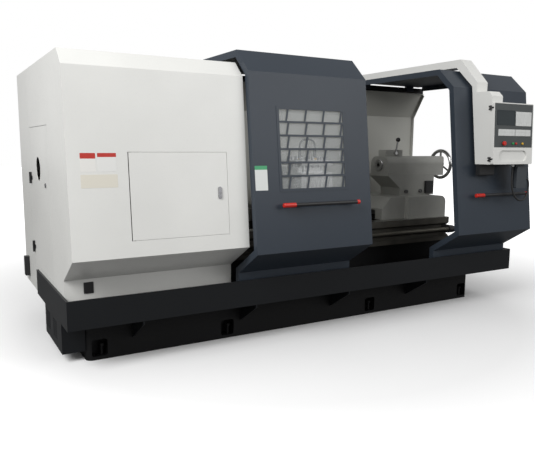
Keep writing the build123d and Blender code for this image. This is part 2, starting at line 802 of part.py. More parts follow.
def pulley(radius, bore, y, z, left):
    """A flanged belt pulley on an x shaft."""
    right = left + PULLEY_WIDTH
    body = rod_x(left, right, y, z, radius)
    for start in (left, right - BELT / 2):
        body += rod_x(start, start + BELT / 2, y, z, radius + BELT)
    return body - rod_x(left - 1, right + 1, y, z, bore)


def pulley_left():
    """The left side of both belt pulleys."""
    return HEADSTOCK_LEFT - 2 * BELT - PULLEY_WIDTH


def spindle_pulley():
    """The large pulley on the spindle's tail."""
    return pulley(PULLEY_RADIUS, SPINDLE_TAIL_RADIUS + SHAFT_GAP, 0, SPINDLE_HEIGHT, pulley_left())


def motor_pulley():
    """The small pulley with the motor's shaft, which turns in the motor."""
    left = pulley_left()
    body = pulley(MOTOR_PULLEY_RADIUS, MOTOR_SHAFT_RADIUS, MOTOR_Y, MOTOR_HEIGHT, left)
    return body + rod_x(left, motor_left() + MOTOR_LENGTH / 2, MOTOR_Y, MOTOR_HEIGHT, MOTOR_SHAFT_RADIUS)


def motor_left():
    """The drive end of the main motor."""
    return HEADSTOCK_LEFT + 2 * BELT


def main_motor():
    """The finned main motor on its foot in the tray's floor."""
    left = motor_left()
    right = left + MOTOR_LENGTH
    body = rod_x(left, right, MOTOR_Y, MOTOR_HEIGHT, MOTOR_RADIUS)
    fin_pitch = MOTOR_LENGTH / MOTOR_FIN_COUNT
    for index in range(1, MOTOR_FIN_COUNT):
        x = left + index * fin_pitch
        ring = rod_x(x, x + MOTOR_GROOVE, MOTOR_Y, MOTOR_HEIGHT, MOTOR_RADIUS + 1)
        body -= ring - rod_x(x, x + MOTOR_GROOVE, MOTOR_Y, MOTOR_HEIGHT, MOTOR_RADIUS - MOTOR_GROOVE)
    half = MOTOR_FOOT_WIDTH / 2
    body += slab(
        left + fin_pitch,
        right - fin_pitch,
        MOTOR_Y - half / 2,
        MOTOR_Y + half / 2,
        TRAY_FLOOR,
        MOTOR_HEIGHT,
    )
    body += slab(left, right, MOTOR_Y - half, -PEDESTAL_WIDTH / 2, TRAY_FLOOR, TRAY_FLOOR + MOTOR_FOOT)
    return body - rod_x(
        left - 1,
        left + MOTOR_LENGTH / 2 + 1,
        MOTOR_Y,
        MOTOR_HEIGHT,
        MOTOR_SHAFT_RADIUS + SHAFT_GAP,
    )


def belt_plan(growth):
    """The belt's plan round both pulleys, grown outward, in the side plane."""
    big = Pos(0, SPINDLE_HEIGHT) * Circle(PULLEY_RADIUS + growth)
    small = Pos(MOTOR_Y, MOTOR_HEIGHT) * Circle(MOTOR_PULLEY_RADIUS + growth)
    return make_hull(big.edges() + small.edges())


def drive_belt():
    """The belt loop, a running gap off both pulleys."""
    left = pulley_left() + BELT
    loop = belt_plan(SLIDE_GAP + BELT / 2) - belt_plan(SLIDE_GAP)
    return extrude(side_plane(left) * loop, PULLEY_WIDTH - 2 * BELT)


# Headstock cover with its doors
def access_plane():
    """The plane of the access door on the cover's front."""
    return face_plane(COVER_OUTLINE, (ACCESS_LEFT + ACCESS_RIGHT) / 2, (ACCESS_BOTTOM + ACCESS_TOP) / 2)


def access_half():
    """Half the width and half the height of the access opening."""
    return (ACCESS_RIGHT - ACCESS_LEFT) / 2, (ACCESS_TOP - ACCESS_BOTTOM) / 2


def access_axis_x():
    """The access door's pivot line, from the middle of its opening."""
    return -access_half()[0] + ACCESS_HINGE_GAP + ACCESS_HINGE_DEPTH


def access_frame():
    """The stops behind three sides of the access opening, and its two pivot blocks."""
    plane = access_plane()
    half_x, half_y = access_half()
    outer_x = half_x + ACCESS_LIP / 2
    outer_y = half_y + ACCESS_LIP / 2
    inner_x = half_x - ACCESS_LIP
    inner_y = half_y - ACCESS_LIP
    stop_left = access_axis_x() + PIVOT_BLOCK
    frame = on_plane(plane, inner_x, outer_x, -outer_y, outer_y, -2 * SHEET, -SHEET)
    for side in (-1, 1):
        low, high = sorted((side * inner_y, side * outer_y))
        frame += on_plane(plane, stop_left, outer_x, low, high, -2 * SHEET, -SHEET)
        low, high = sorted((side * half_y, side * (half_y + PIVOT_BLOCK)))
        x = access_axis_x()
        block = slab(x - PIVOT_BLOCK / 2, x + PIVOT_BLOCK / 2, low, high, -SHEET - PIVOT_BLOCK, -SHEET)
        block -= rod_y(x, low - 1, high + 1, -ACCESS_HINGE_DEPTH, PIVOT_RADIUS + SHAFT_GAP)
        frame += plane.location * block
    return frame


def headstock_cover():
    """The bent sheet cover with end walls, and openings for both doors, the bed, the screw and the spindle."""
    cover = side_section(strip(COVER_OUTLINE, SHEET), COVER_LEFT, COVER_RIGHT)
    tray_in = TRAY_LEFT_REAR - TRAY_RIM - DOOR_GAP
    tray_out = TRAY_LEFT_REAR + DOOR_GAP
    notch_top = TRAY_TOP + DOOR_GAP
    left_wall = COVER_OUTLINE + [
        (tray_in, TRAY_FLOOR),
        (tray_in, notch_top),
        (tray_out, notch_top),
        (tray_out, BASE_HEIGHT),
        (COVER_REAR, BASE_HEIGHT),
    ]
    cover += side_section(left_wall, COVER_LEFT, COVER_LEFT + SHEET)
    bed_front = -BED_WIDTH / 2 - COVER_NOTCH_GAP
    bed_top = BED_TOP + COVER_NOTCH_GAP
    right_wall = COVER_OUTLINE + [(bed_front, TRAY_FLOOR), (bed_front, bed_top), (COVER_REAR, bed_top)]
    cover += side_section(right_wall, COVER_RIGHT - SHEET, COVER_RIGHT)
    cover -= rod_x(COVER_RIGHT - SHEET - 1, COVER_RIGHT + 1, 0, SPINDLE_HEIGHT, CHUCK_HOLE_RADIUS)
    cover -= rod_x(
        COVER_RIGHT - SHEET - 1,
        COVER_RIGHT + 1,
        SCREW_Y,
        SCREW_HEIGHT,
        SCREW_RADIUS + COVER_NOTCH_GAP,
    )
    cover -= slab(
        COVER_LEFT - 1,
        COVER_LEFT + SHEET + 1,
        SIDE_DOOR_FRONT - DOOR_GAP,
        SIDE_DOOR_REAR + DOOR_GAP,
        SIDE_DOOR_BOTTOM - DOOR_GAP,
        SIDE_DOOR_TOP + DOOR_GAP,
    )
    half_x, half_y = access_half()
    cover -= on_plane(access_plane(), -half_x, half_x, -half_y, half_y, -SHEET - 1, 1)
    cover += access_frame()
    for fixed, _ in side_hinges():
        cover += fixed
    return cover


def access_door():
    """The flush door in the cover's front, on two hidden pivots at its left edge."""
    plane = access_plane()
    half_x, half_y = access_half()
    left = -half_x + ACCESS_HINGE_GAP
    top = half_y - DOOR_GAP
    x = access_axis_x()
    depth = ACCESS_HINGE_DEPTH + PIVOT_BLOCK / 2
    door = slab(left, half_x - DOOR_GAP, -top, top, SLIDE_GAP - SHEET, 0)
    for side in (-1, 1):
        low, high = sorted((side * (top - 2 * PIVOT_BLOCK), side * top))
        door += slab(x - PIVOT_BLOCK / 2, x + PIVOT_BLOCK / 2, low, high, -depth, -SHEET / 2)
        low, high = sorted((side * (top - PIVOT_BLOCK), side * (half_y + PIVOT_BLOCK / 2)))
        door += rod_y(x, low, high, -ACCESS_HINGE_DEPTH, PIVOT_RADIUS)
    latch_x, latch_y = latch_place()
    door -= rod_z(latch_x, latch_y, -SHEET - 1, 1, LATCH_SHAFT_RADIUS + SHAFT_GAP)
    return plane.location * door


def latch_place():
    """The access latch's place, from the middle of the access opening."""
    return LATCH_X - (ACCESS_LEFT + ACCESS_RIGHT) / 2, LATCH_HEIGHT - (ACCESS_BOTTOM + ACCESS_TOP) / 2


def quarter_turn(grip, tongue, stop_depth):
    """A quarter-turn latch on z: a grip on the face, a shaft through it and a tongue behind the stop along x."""
    body = Pos(0, 0, SLIDE_GAP) * extrude(grip, LATCH_THICKNESS)
    back = -stop_depth - SLIDE_GAP - LATCH_THICKNESS
    body += rod_z(0, 0, back, SLIDE_GAP, LATCH_SHAFT_RADIUS)
    body += slab(0, tongue, -LATCH_SHAFT_RADIUS, LATCH_SHAFT_RADIUS, back, back + LATCH_THICKNESS)
    return body


def access_latch():
    """The access door's slot-shaped quarter-turn latch."""
    grip = SlotOverall(LATCH_LENGTH, LATCH_WIDTH, rotation=90)
    latch_x, latch_y = latch_place()
    return access_plane().location * Pos(latch_x, latch_y, 0) * quarter_turn(grip, LATCH_TONGUE, 2 * SHEET)


def side_hinges():
    """The hinges of the side door on the cover's left wall, as pairs of fixed and moving halves."""
    x = COVER_LEFT - HINGE_BARREL - SLIDE_GAP
    y = SIDE_DOOR_REAR + DOOR_GAP / 2
    planes = hinge_planes(x, y, SIDE_HINGE_HEIGHTS, (0, -1, 0), (0, 0, -1))
    return [hinge(plane, HINGE_HEIGHT, HINGE_REACH) for plane in planes]


def panel_door(length, height):
    """A flush door leaf with a turned-in rim, its outer face on the xy plane and its body below."""
    leaf = Box(length, height, SHEET, align=(Align.CENTER, Align.CENTER, Align.MAX))
    rim = Box(length, height, SIDE_DOOR_RIM, align=(Align.CENTER, Align.CENTER, Align.MAX))
    rim -= Box(
        length - 2 * SHEET,
        height - 2 * SHEET,
        SIDE_DOOR_RIM,
        align=(Align.CENTER, Align.CENTER, Align.MAX),
    )
    return leaf + rim


def side_door():
    """The door in the cover's left wall, with the round port on the spindle's axis."""
    length = SIDE_DOOR_REAR - SIDE_DOOR_FRONT
    height = SIDE_DOOR_TOP - SIDE_DOOR_BOTTOM
    middle = ((SIDE_DOOR_REAR + SIDE_DOOR_FRONT) / 2, (SIDE_DOOR_TOP + SIDE_DOOR_BOTTOM) / 2)
    plane = Plane(origin=(COVER_LEFT, *middle), x_dir=(0, -1, 0), z_dir=(-1, 0, 0))
    door = plane.location * panel_door(length, height)
    for _, moving in side_hinges():
        door += moving
    reach = COVER_LEFT + SIDE_DOOR_RIM
    door -= rod_x(COVER_LEFT - 1, reach, 0, SPINDLE_HEIGHT, SPINDLE_PORT_RADIUS)
    return door - rod_x(
        COVER_LEFT - 1,
        reach,
        SIDE_LOCK_Y,
        SIDE_LOCK_HEIGHT,
        LATCH_SHAFT_RADIUS + SHAFT_GAP,
    )


def side_door_lock():
    """The side door's round quarter-turn lock, its tongue behind the wall's front edge."""
    plane = Plane(origin=(COVER_LEFT, SIDE_LOCK_Y, SIDE_LOCK_HEIGHT), x_dir=(0, -1, 0), z_dir=(-1, 0, 0))
    tongue = SIDE_LOCK_Y - SIDE_DOOR_FRONT + DOOR_GAP + LATCH_SHAFT_RADIUS
    return plane.location * quarter_turn(Circle(SIDE_LOCK_RADIUS), tongue, SIDE_DOOR_RIM)


# Electrical cabinet behind the headstock
def cabinet_front():
    """The cabinet's front wall, a seam behind the cover."""
    return COVER_REAR + CABINET_SEAM


def cabinet_hinges():
    """The hinges of the rear door, as pairs of fixed and moving halves."""
    x = COVER_LEFT + CABINET_DOOR_MARGIN - DOOR_GAP / 2
    y = CABINET_REAR + HINGE_BARREL + SLIDE_GAP
    planes = hinge_planes(x, y, CABINET_HINGE_HEIGHTS, (1, 0, 0), (0, 0, 1))
    return [hinge(plane, HINGE_HEIGHT, CABINET_DOOR_MARGIN - 2 * DOOR_GAP) for plane in planes]


def electrical_cabinet():
    """The cabinet's sheet box, open at the rear for its door."""
    margin = CABINET_DOOR_MARGIN - DOOR_GAP
    box = slab(COVER_LEFT, COVER_RIGHT, cabinet_front(), CABINET_REAR, BASE_HEIGHT, COVER_TOP)
    box -= slab(
        COVER_LEFT + SHEET,
        COVER_RIGHT - SHEET,
        cabinet_front() + SHEET,
        CABINET_REAR - SHEET,
        BASE_HEIGHT + SHEET,
        COVER_TOP - SHEET,
    )
    box -= slab(
        COVER_LEFT + margin,
        COVER_RIGHT - margin,
        CABINET_REAR - SHEET - 1,
        CABINET_REAR + 1,
        BASE_HEIGHT + margin,
        COVER_TOP - margin,
    )
    for fixed, _ in cabinet_hinges():
        box += fixed
    return box


def cabinet_door():
    """The cabinet's rear door."""
    length = COVER_LENGTH - 2 * CABINET_DOOR_MARGIN
    height = COVER_TOP - BASE_HEIGHT - 2 * CABINET_DOOR_MARGIN
    middle_x = (COVER_LEFT + COVER_RIGHT) / 2
    middle_z = (BASE_HEIGHT + COVER_TOP) / 2
    plane = Plane(origin=(middle_x, CABINET_REAR, middle_z), x_dir=(-1, 0, 0), z_dir=(0, 1, 0))
    door = plane.location * panel_door(length, height)
    for _, moving in cabinet_hinges():
        door += moving
    return door


def electrics_panel():
    """The mounting plate in the cabinet with its drives, contactor rows and terminal strip."""
    front = cabinet_front() + SHEET
    left = COVER_LEFT + 2 * CABINET_DOOR_MARGIN
    right = COVER_RIGHT - 2 * CABINET_DOOR_MARGIN
    bottom = BASE_HEIGHT + 2 * CABINET_DOOR_MARGIN
    top = COVER_TOP - 2 * CABINET_DOOR_MARGIN
    panel = slab(left, right, front, front + SHEET, bottom, top)
    width = right - left
    for index in range(DRIVE_COUNT):
        x = left + (index + 0.5) * width / DRIVE_COUNT
        half = DRIVE_WIDTH / 2
        z = bottom + DRIVE_FROM_BOTTOM
        panel += slab(x - half, x + half, front + SHEET, front + DRIVE_DEPTH, z, z + DRIVE_HEIGHT)
    for row in range(CONTACTOR_ROWS):
        z = bottom + CONTACTOR_FROM_BOTTOM + row * CONTACTOR_PITCH
        for index in range(CONTACTOR_COUNT):
            x = left + (index + 0.5) * width / CONTACTOR_COUNT
            half = CONTACTOR_SIDE / 2
            panel += slab(x - half, x + half, front + SHEET, front + CONTACTOR_SIDE, z, z + CONTACTOR_SIDE)
    return panel


def cable_inlet_block():
    """The cable inlet block on the cabinet's left side."""
    half = INLET_WIDTH / 2
    top = INLET_BOTTOM + INLET_HEIGHT
    block = slab(COVER_LEFT - INLET_DEPTH, COVER_LEFT, INLET_Y - half, INLET_Y + half, INLET_BOTTOM, top)
    return fillet(block.edges().group_by(Axis.X)[0], HINGE_LEAF)


# Sliding doors
def door_hood(left, right):
    """A bent sheet door with flanges turned in at both ends, and its glide shoes."""
    hood = side_section(strip(DOOR_OUTLINE, SHEET), left, right)
    hood += door_shoes(left, right)
    flange_line = [(DOOR_FLANGE_REAR, DOOR_TOP)] + DOOR_OUTLINE[1:]
    for x in (left, right - SHEET):
        hood += side_section(strip(flange_line, DOOR_FLANGE), x, x + SHEET)
    return hood


def window_plane():
    """The plane of the window on the first door's front."""
    return face_plane(DOOR_OUTLINE, (WINDOW_LEFT + WINDOW_RIGHT) / 2, (WINDOW_BOTTOM + WINDOW_TOP) / 2)


def window_size():
    """The window opening's width and height."""
    return WINDOW_RIGHT - WINDOW_LEFT, WINDOW_TOP - WINDOW_BOTTOM


def door_1():
    """The first door, with its window opening."""
    width, height = window_size()
    hood = door_hood(DOOR_1_LEFT, DOOR_1_RIGHT)
    return hood - on_plane(window_plane(), -width / 2, width / 2, -height / 2, height / 2, -SHEET - 1, 1)


def door_1_window():
    """The window pane behind the door's sheet."""
    width, height = window_size()
    reach_x = width / 2 + WINDOW_LAP
    reach_y = height / 2 + WINDOW_LAP
    return on_plane(window_plane(), -reach_x, reach_x, -reach_y, reach_y, -SHEET - WINDOW_GLASS, -SHEET)


def guard_cells(width, height):
    """The guard's slanting openings in rows, cut off at its sides."""
    row_height = height / GUARD_ROWS
    half_cell = (row_height - GUARD_BAR) / 2
    lean = half_cell * math.tan(math.radians(GUARD_LEAN))
    count = math.ceil(width / GUARD_COLUMN_PITCH) + 1
    first = GUARD_FIRST_BAR - GUARD_COLUMN_PITCH - width / 2
    cells = []
    for row in range(GUARD_ROWS):
        middle = (row + 0.5) * row_height - height / 2
        for column in range(count):
            left = first + column * GUARD_COLUMN_PITCH + GUARD_BAR / 2
            right = left + GUARD_COLUMN_PITCH - GUARD_BAR
            corners = [
                (max(left - lean, -width / 2), middle - half_cell),
                (min(right - lean, width / 2), middle - half_cell),
                (min(right + lean, width / 2), middle + half_cell),
                (max(left + lean, -width / 2), middle + half_cell),
            ]
            cells.append(Polygon(*corners, align=None))
    return cells


def door_1_window_guard():
    """The steel guard plate over the window, cut with rows of slanting openings."""
    width, height = window_size()
    plate = Rectangle(width + 2 * GUARD_BAR, height + 2 * GUARD_BAR)
    for cell in guard_cells(width - GUARD_BAR, height):
        plate -= cell
    return window_plane().location * extrude(plate, GUARD_SHEET)


def handle_plane(left):
    """The plane on a door's face at the middle of its handle."""
    return face_plane(DOOR_OUTLINE, left + HANDLE_LENGTH / 2, HANDLE_HEIGHT)


def door_handle(left):
    """The round bar of a door handle on its two posts."""
    half = HANDLE_LENGTH / 2
    bar = rod_x(HANDLE_LONG_CAP - half, half - HANDLE_SHORT_CAP, 0, HANDLE_STANDOFF, HANDLE_RADIUS)
    for side in (-1, 1):
        bar += rod_z(side * (half - HANDLE_POST_INSET), 0, 0, HANDLE_STANDOFF, HANDLE_POST_RADIUS)
    return handle_plane(left).location * bar


def door_handle_caps(left):
    """The long cap and the short cap on the ends of a door handle."""
    half = HANDLE_LENGTH / 2
    long_cap = rod_x(-half, HANDLE_LONG_CAP - half, 0, HANDLE_STANDOFF, HANDLE_CAP_RADIUS)
    short_cap = rod_x(half - HANDLE_SHORT_CAP, half, 0, HANDLE_STANDOFF, HANDLE_CAP_RADIUS)
    caps = []
    for cap in (long_cap, short_cap):
        rounded = fillet(cap.edges().filter_by(GeomType.CIRCLE), HANDLE_CAP_ROUND)
        caps.append(handle_plane(left).location * rounded)
    return Compound(caps)


def shoe(x, y, bottom, top, rail_top):
    """A glide shoe that straddles a rail from above."""
    half = SHOE_WIDTH / 2
    slot = RAIL_SHEET / 2 + SLIDE_GAP
    body = slab(x, x + SHOE_LENGTH, y - half, y + half, bottom, top)
    return body - slab(x - 1, x + SHOE_LENGTH + 1, y - slot, y + slot, bottom - 1, rail_top + SLIDE_GAP)


def front_rail_y():
    """The middle of the front rail, under the door's skirt."""
    return DOOR_SKIRT[0] + SHEET / 2


def door_shoes(left, right):
    """The glide shoes of one door, two under the roof and two under the skirt."""
    shoes = []
    for x in (left + SHOE_FROM_END, right - SHOE_FROM_END - SHOE_LENGTH):
        shoes.append(shoe(x, RAIL_Y, RAIL_TOP - SHOE_DEPTH, DOOR_TOP - SHEET, RAIL_TOP))
        shoes.append(shoe(x, front_rail_y(), FRONT_RAIL_TOP - SHOE_DEPTH, DOOR_SKIRT_BOTTOM, FRONT_RAIL_TOP))
    return shoes


def door_rails():
    """The rail on the tray's floor for the skirts, and the rail on the guard and the cover for the roofs."""
    y = front_rail_y()
    half = RAIL_SHEET / 2
    left = COVER_LEFT + RAIL_FOOT
    right = TRAY_RIGHT - RAIL_FOOT
    front_rail = slab(left, right, y - half, y + half, TRAY_FLOOR, FRONT_RAIL_TOP)
    front_rail += slab(left, right, y - half, y + RAIL_FOOT, TRAY_FLOOR, TRAY_FLOOR + SHEET)
    foot = RAIL_FOOT / 2
    roof_left = DOOR_1_LEFT - DOOR_1_TRAVEL
    roof_rail = slab(roof_left, guard_right(), RAIL_Y - half, RAIL_Y + half, GUARD_TOP, RAIL_TOP)
    roof_rail += slab(roof_left, COVER_RIGHT, RAIL_Y - foot, RAIL_Y + foot, COVER_TOP, GUARD_TOP)
    return Compound([front_rail, roof_rail])


def guard_right():
    """The rear guard's right end, inside the tray's rim."""
    return TRAY_RIGHT - TRAY_RIM - 1


def rear_guard():
    """The bent sheet wall behind the working bay, and the edge strip at its right end."""
    left = COVER_RIGHT + TRAY_RIM + 1
    line = [
        (GUARD_Y, TRAY_FLOOR),
        (GUARD_Y, GUARD_KNEE),
        (GUARD_TOP_Y, GUARD_TOP),
        (GUARD_TOP_Y - GUARD_TOP_FLANGE, GUARD_TOP),
    ]
    strip_left = guard_right() - SHEET
    guard = side_section(strip(line, SHEET), left, strip_left)
    return Compound([guard, side_section(strip(line[:3], GUARD_END_STRIP), strip_left, guard_right())])


# Control arm and control box
def arm_inner_line():
    """The line just in front of the doors that the arm and the box follow."""
    return offset_line(DOOR_OUTLINE, -ARM_DOOR_GAP)


def arm_inner_y(height):
    """The y of the arm's inner line at a height on the doors' leaning front."""
    line = arm_inner_line()
    return on_line(line[2], line[3], height)


def control_arm():
    """The beam over the doors on its post, bent down to the block that carries the control box."""
    line = arm_inner_line()
    underside = DOOR_TOP + ARM_DOOR_GAP
    rear = -BASE_FRONT
    outline = [
        (rear, ARM_TOP),
        (ARM_TOP_FRONT, ARM_TOP),
        ARM_BEND,
        (ARM_BEND[0], ARM_BLOCK_TOP),
        (ARM_BLOCK_FRONT + ARM_BLOCK_CHAMFER, ARM_BLOCK_TOP),
        (ARM_BLOCK_FRONT, ARM_BLOCK_TOP - ARM_BLOCK_CHAMFER),
        (ARM_BLOCK_FRONT, ARM_BLOCK_BOTTOM),
        (arm_inner_y(ARM_BLOCK_BOTTOM), ARM_BLOCK_BOTTOM),
        line[2],
        line[1],
        (rear, underside),
    ]
    return side_section(outline, ARM_LEFT, ARM_LEFT + ARM_WIDTH) + arm_post()


def arm_post():
    """The hollow post behind the rear guard that carries the arm."""
    rear = -BASE_FRONT
    front = rear - POST_DEPTH
    top = DOOR_TOP + ARM_DOOR_GAP
    right = ARM_LEFT + ARM_WIDTH
    post = slab(ARM_LEFT, right, front, rear, BASE_HEIGHT, top)
    bore = slab(
        ARM_LEFT + POST_WALL,
        right - POST_WALL,
        front + POST_WALL,
        rear - POST_WALL,
        BASE_HEIGHT,
        top,
    )
    return post - bore


def control_box():
    """The control box's sheet body, open towards its hinged front, with the gland for the pendant's cable."""
    top = ARM_BLOCK_BOTTOM
    outline = [
        (arm_inner_y(top), top),
        (BOX_FRONT_TOP, top),
        (BOX_FRONT_BOTTOM, BOX_BOTTOM),
        (arm_inner_y(BOX_BOTTOM), BOX_BOTTOM),
    ]
    inside_top = top - BOX_SHEET
    inside_bottom = BOX_BOTTOM + BOX_SHEET
    inside = [
        (arm_inner_y(inside_top) - BOX_SHEET, inside_top),
        (BOX_FRONT_TOP - FRONT_THICKNESS, inside_top),
        (BOX_FRONT_BOTTOM - FRONT_THICKNESS, inside_bottom),
        (arm_inner_y(inside_bottom) - BOX_SHEET, inside_bottom),
    ]
    box = side_section(outline, BOX_LEFT, BOX_RIGHT)
    box -= side_section(inside, BOX_LEFT + BOX_SHEET, BOX_RIGHT - BOX_SHEET)
    for fixed, _ in control_hinges():
        box += fixed
    x, y, z = CABLE_ROUTE[0]
    return box + rod_z(x, y, z, BOX_BOTTOM, GLAND_RADIUS)


def control_plane():
    """The plane between the control box and its front, at the front's middle."""
    fall = (BOX_FRONT_TOP - BOX_FRONT_BOTTOM, ARM_BLOCK_BOTTOM - BOX_BOTTOM)
    length = math.hypot(*fall)
    middle = (
        (BOX_LEFT + BOX_RIGHT) / 2,
        (BOX_FRONT_TOP + BOX_FRONT_BOTTOM) / 2,
        (ARM_BLOCK_BOTTOM + BOX_BOTTOM) / 2,
    )
    return Plane(origin=middle, x_dir=(1, 0, 0), z_dir=(0, -fall[1] / length, fall[0] / length))


def control_height():
    """The length of the control box's leaning front edge."""
    return math.hypot(BOX_FRONT_TOP - BOX_FRONT_BOTTOM, ARM_BLOCK_BOTTOM - BOX_BOTTOM)


def control_hinges():
    """The hinges at the front's left edge, as pairs of fixed and moving halves."""
    plane = control_plane()
    out = HINGE_BARREL + SLIDE_GAP
    reach = control_height() / 2 - FRONT_HINGE_FROM_EDGE
    pairs = []
    for side in (-1, 1):
        place = plane.location * Pos(-BOX_WIDTH / 2 - out, side * reach, SLIDE_GAP / 2)
        turned = place * Plane(origin=(0, 0, 0), x_dir=(0, 0, 1), z_dir=(0, -1, 0)).location
        pairs.append(hinge(Plane(turned), FRONT_HINGE_HEIGHT, FRONT_HINGE_REACH))
    return pairs


def front_slab(x0, x1, y0, y1, z0, z1):
    """A box in the directions of the control front."""
    return on_plane(control_plane(), x0, x1, y0, y1, z0, z1)


def control_buttons():
    """The place and radius of each hole for a button's stem in the control front."""
    places = [(ESTOP_PLACE, ESTOP_STEM)]
    for x in BUTTON_STATIONS:
        places.append(((x, ESTOP_PLACE[1]), BUTTON_STEM))
    return places


def control_front():
    """The hinged front: a frame with a field for the panel, a slot-shaped pocket and a hollow back."""
    half_x = BOX_WIDTH / 2
    half_y = control_height() / 2 - SLIDE_GAP
    outline = RectangleRounded(2 * half_x, 2 * half_y, FRONT_RADIUS)
    front = Pos(0, 0, SLIDE_GAP) * extrude(outline, FRONT_THICKNESS)
    wall = FRONT_WALL
    back = FRONT_THICKNESS - POCKET_SLOT_DEPTH - wall
    front -= slab(wall - half_x, half_x - wall, wall - half_y, half_y - wall, 0, back)
    face = FRONT_THICKNESS + SLIDE_GAP
    field_x = half_x - FIELD_MARGIN
    front -= slab(-field_x, field_x, FIELD_BOTTOM, half_y - FIELD_MARGIN, face - FIELD_DEPTH, face + 1)
    slot = SlotOverall(POCKET_SLOT_WIDTH, POCKET_SLOT_HEIGHT)
    front -= Pos(0, POCKET_SLOT_Y, face - POCKET_SLOT_DEPTH) * extrude(slot, POCKET_SLOT_DEPTH + 1)
    for (x, y), radius in control_buttons():
        front -= rod_z(x, y, -1, face + 1, radius + SLIDE_GAP)
    front = control_plane().location * front
    for _, moving in control_hinges():
        front += moving
    return front


def operator_panel():
    """The dark panel in the control front's field."""
    gap = SLIDE_GAP
    face = FRONT_THICKNESS + SLIDE_GAP
    half_x = BOX_WIDTH / 2 - FIELD_MARGIN - gap
    top = control_height() / 2 - FIELD_MARGIN - 2 * gap
    panel = slab(-half_x, half_x, FIELD_BOTTOM + gap, top, face - FIELD_DEPTH, face)
    for (x, y), radius in control_buttons():
        panel -= rod_z(x, y, 0, face + 1, radius + gap)
    return control_plane().location * panel


def raised_pad(x0, x1, y0, y1, columns, rows):
    """A thin pad on the operator panel with a grid of raised keys."""
    face = FRONT_THICKNESS + SLIDE_GAP
    pad = slab(x0, x1, y0, y1, face, face + KEY_THICKNESS)
    pitch_x = (x1 - x0) / columns
    pitch_y = (y1 - y0) / rows
    top = face + KEY_THICKNESS
    for column in range(columns):
        for row in range(rows):
            x = x0 + (column + 0.5) * pitch_x
            y = y0 + (row + 0.5) * pitch_y
            half_x = (pitch_x - KEY_GAP) / 2
            half_y = (pitch_y - KEY_GAP) / 2
            pad += slab(x - half_x, x + half_x, y - half_y, y + half_y, top, top + KEY_HEIGHT)
    return pad


def screen():
    """The screen with its bezel on the operator panel."""
    face = FRONT_THICKNESS + SLIDE_GAP
    left, right = SCREEN_SIDES
    bottom, top = SCREEN_ENDS
    body = slab(left, right, bottom, top, face, face + KEY_THICKNESS)
    body -= slab(
        left + BEZEL,
        right - BEZEL,
        bottom + BEZEL,
        top - BEZEL,
        face + KEY_HEIGHT,
        face + KEY_THICKNESS + 1,
    )
    return control_plane().location * body


def keypad():
    """The keypad beside the screen and the two strips of keys below."""
    pads = [
        raised_pad(*KEYPAD_SIDES, *KEYPAD_ENDS, KEYPAD_COLUMNS, KEYPAD_ROWS),
        raised_pad(*LEFT_KEYS, *KEY_STRIP_ENDS, KEY_STRIP_COLUMNS, KEY_STRIP_ROWS),
        raised_pad(*RIGHT_KEYS, *KEY_STRIP_ENDS, KEY_STRIP_COLUMNS, KEY_STRIP_ROWS),
    ]
    return control_plane().location * Compound(pads)


def press_button(place, stem, radius, height):
    """A button whose head stands off the panel by its travel, with its stem in the panel."""
    face = FRONT_THICKNESS + SLIDE_GAP
    x, y = place
    start = face + BUTTON_TRAVEL + SLIDE_GAP
    head = rod_z(x, y, start, start + height, radius)
    head = fillet(head.edges().group_by(Axis.Z)[-1], height / 3)
    return control_plane().location * (head + rod_z(x, y, face - FIELD_DEPTH - FRONT_WALL, start, stem))


def emergency_stop():
    """The mushroom-headed emergency stop."""
    return press_button(ESTOP_PLACE, ESTOP_STEM, ESTOP_RADIUS, ESTOP_HEIGHT)


def push_button(index):
    """One of the push buttons in a row beside the emergency stop."""
    return press_button((BUTTON_STATIONS[index], ESTOP_PLACE[1]), BUTTON_STEM, BUTTON_RADIUS, BUTTON_HEIGHT)


def cable_junction():
    """The cable junction block under the control box's rear edge."""
    bottom = BOX_BOTTOM - JUNCTION_HEIGHT
    rear = arm_inner_y(bottom)
    right = BOX_LEFT + JUNCTION_WIDTH
    block = slab(BOX_LEFT, right, rear - JUNCTION_DEPTH, rear, bottom, BOX_BOTTOM)
    return fillet(block.edges().filter_by(Axis.X).group_by(Axis.Z)[0], PENDANT_ROUND)


def hand_pendant():
    """The slim pendant on its hanger under the control box, with its own cable gland."""
    right = PENDANT_LEFT + PENDANT_WIDTH
    rear = PENDANT_FRONT + PENDANT_DEPTH
    body = slab(PENDANT_LEFT, right, PENDANT_FRONT, rear, PENDANT_BOTTOM, PENDANT_TOP)
    body = fillet(body.edges().filter_by(Axis.Y), PENDANT_ROUND)
    middle = PENDANT_LEFT + PENDANT_WIDTH / 2
    half = HANGER_WIDTH / 2
    body += slab(
        middle - half,
        middle + half,
        rear - 4 * HANGER_SHEET,
        rear - HANGER_SHEET,
        PENDANT_TOP,
        BOX_BOTTOM,
    )
    x, y, z = CABLE_ROUTE[-1]
    return body + rod_x(right, x, y, z, GLAND_RADIUS)


def pendant_cable():
    """The cable from the box's gland, under the pendant and up into its side."""
    radii = cable_radii()
    path = FilletPolyline(*CABLE_ROUTE, radius=radii)
    start = Plane(origin=CABLE_ROUTE[0], z_dir=Vector(*CABLE_ROUTE[1]) - Vector(*CABLE_ROUTE[0]))
    return sweep(start * Circle(CABLE_RADIUS), path=path)


def cable_radii():
    """The radius of each bend of the cable, as large as its two runs allow."""
    points = [Vector(*point) for point in CABLE_ROUTE]
    radii = []
    for before, point, after in zip(points, points[1:], points[2:]):
        turn = math.radians((point - before).get_angle(after - point))
        shorter = min((point - before).length, (after - point).length)
        radii.append(CABLE_BEND_SHARE * shorter / math.tan(turn / 2))
    return radii


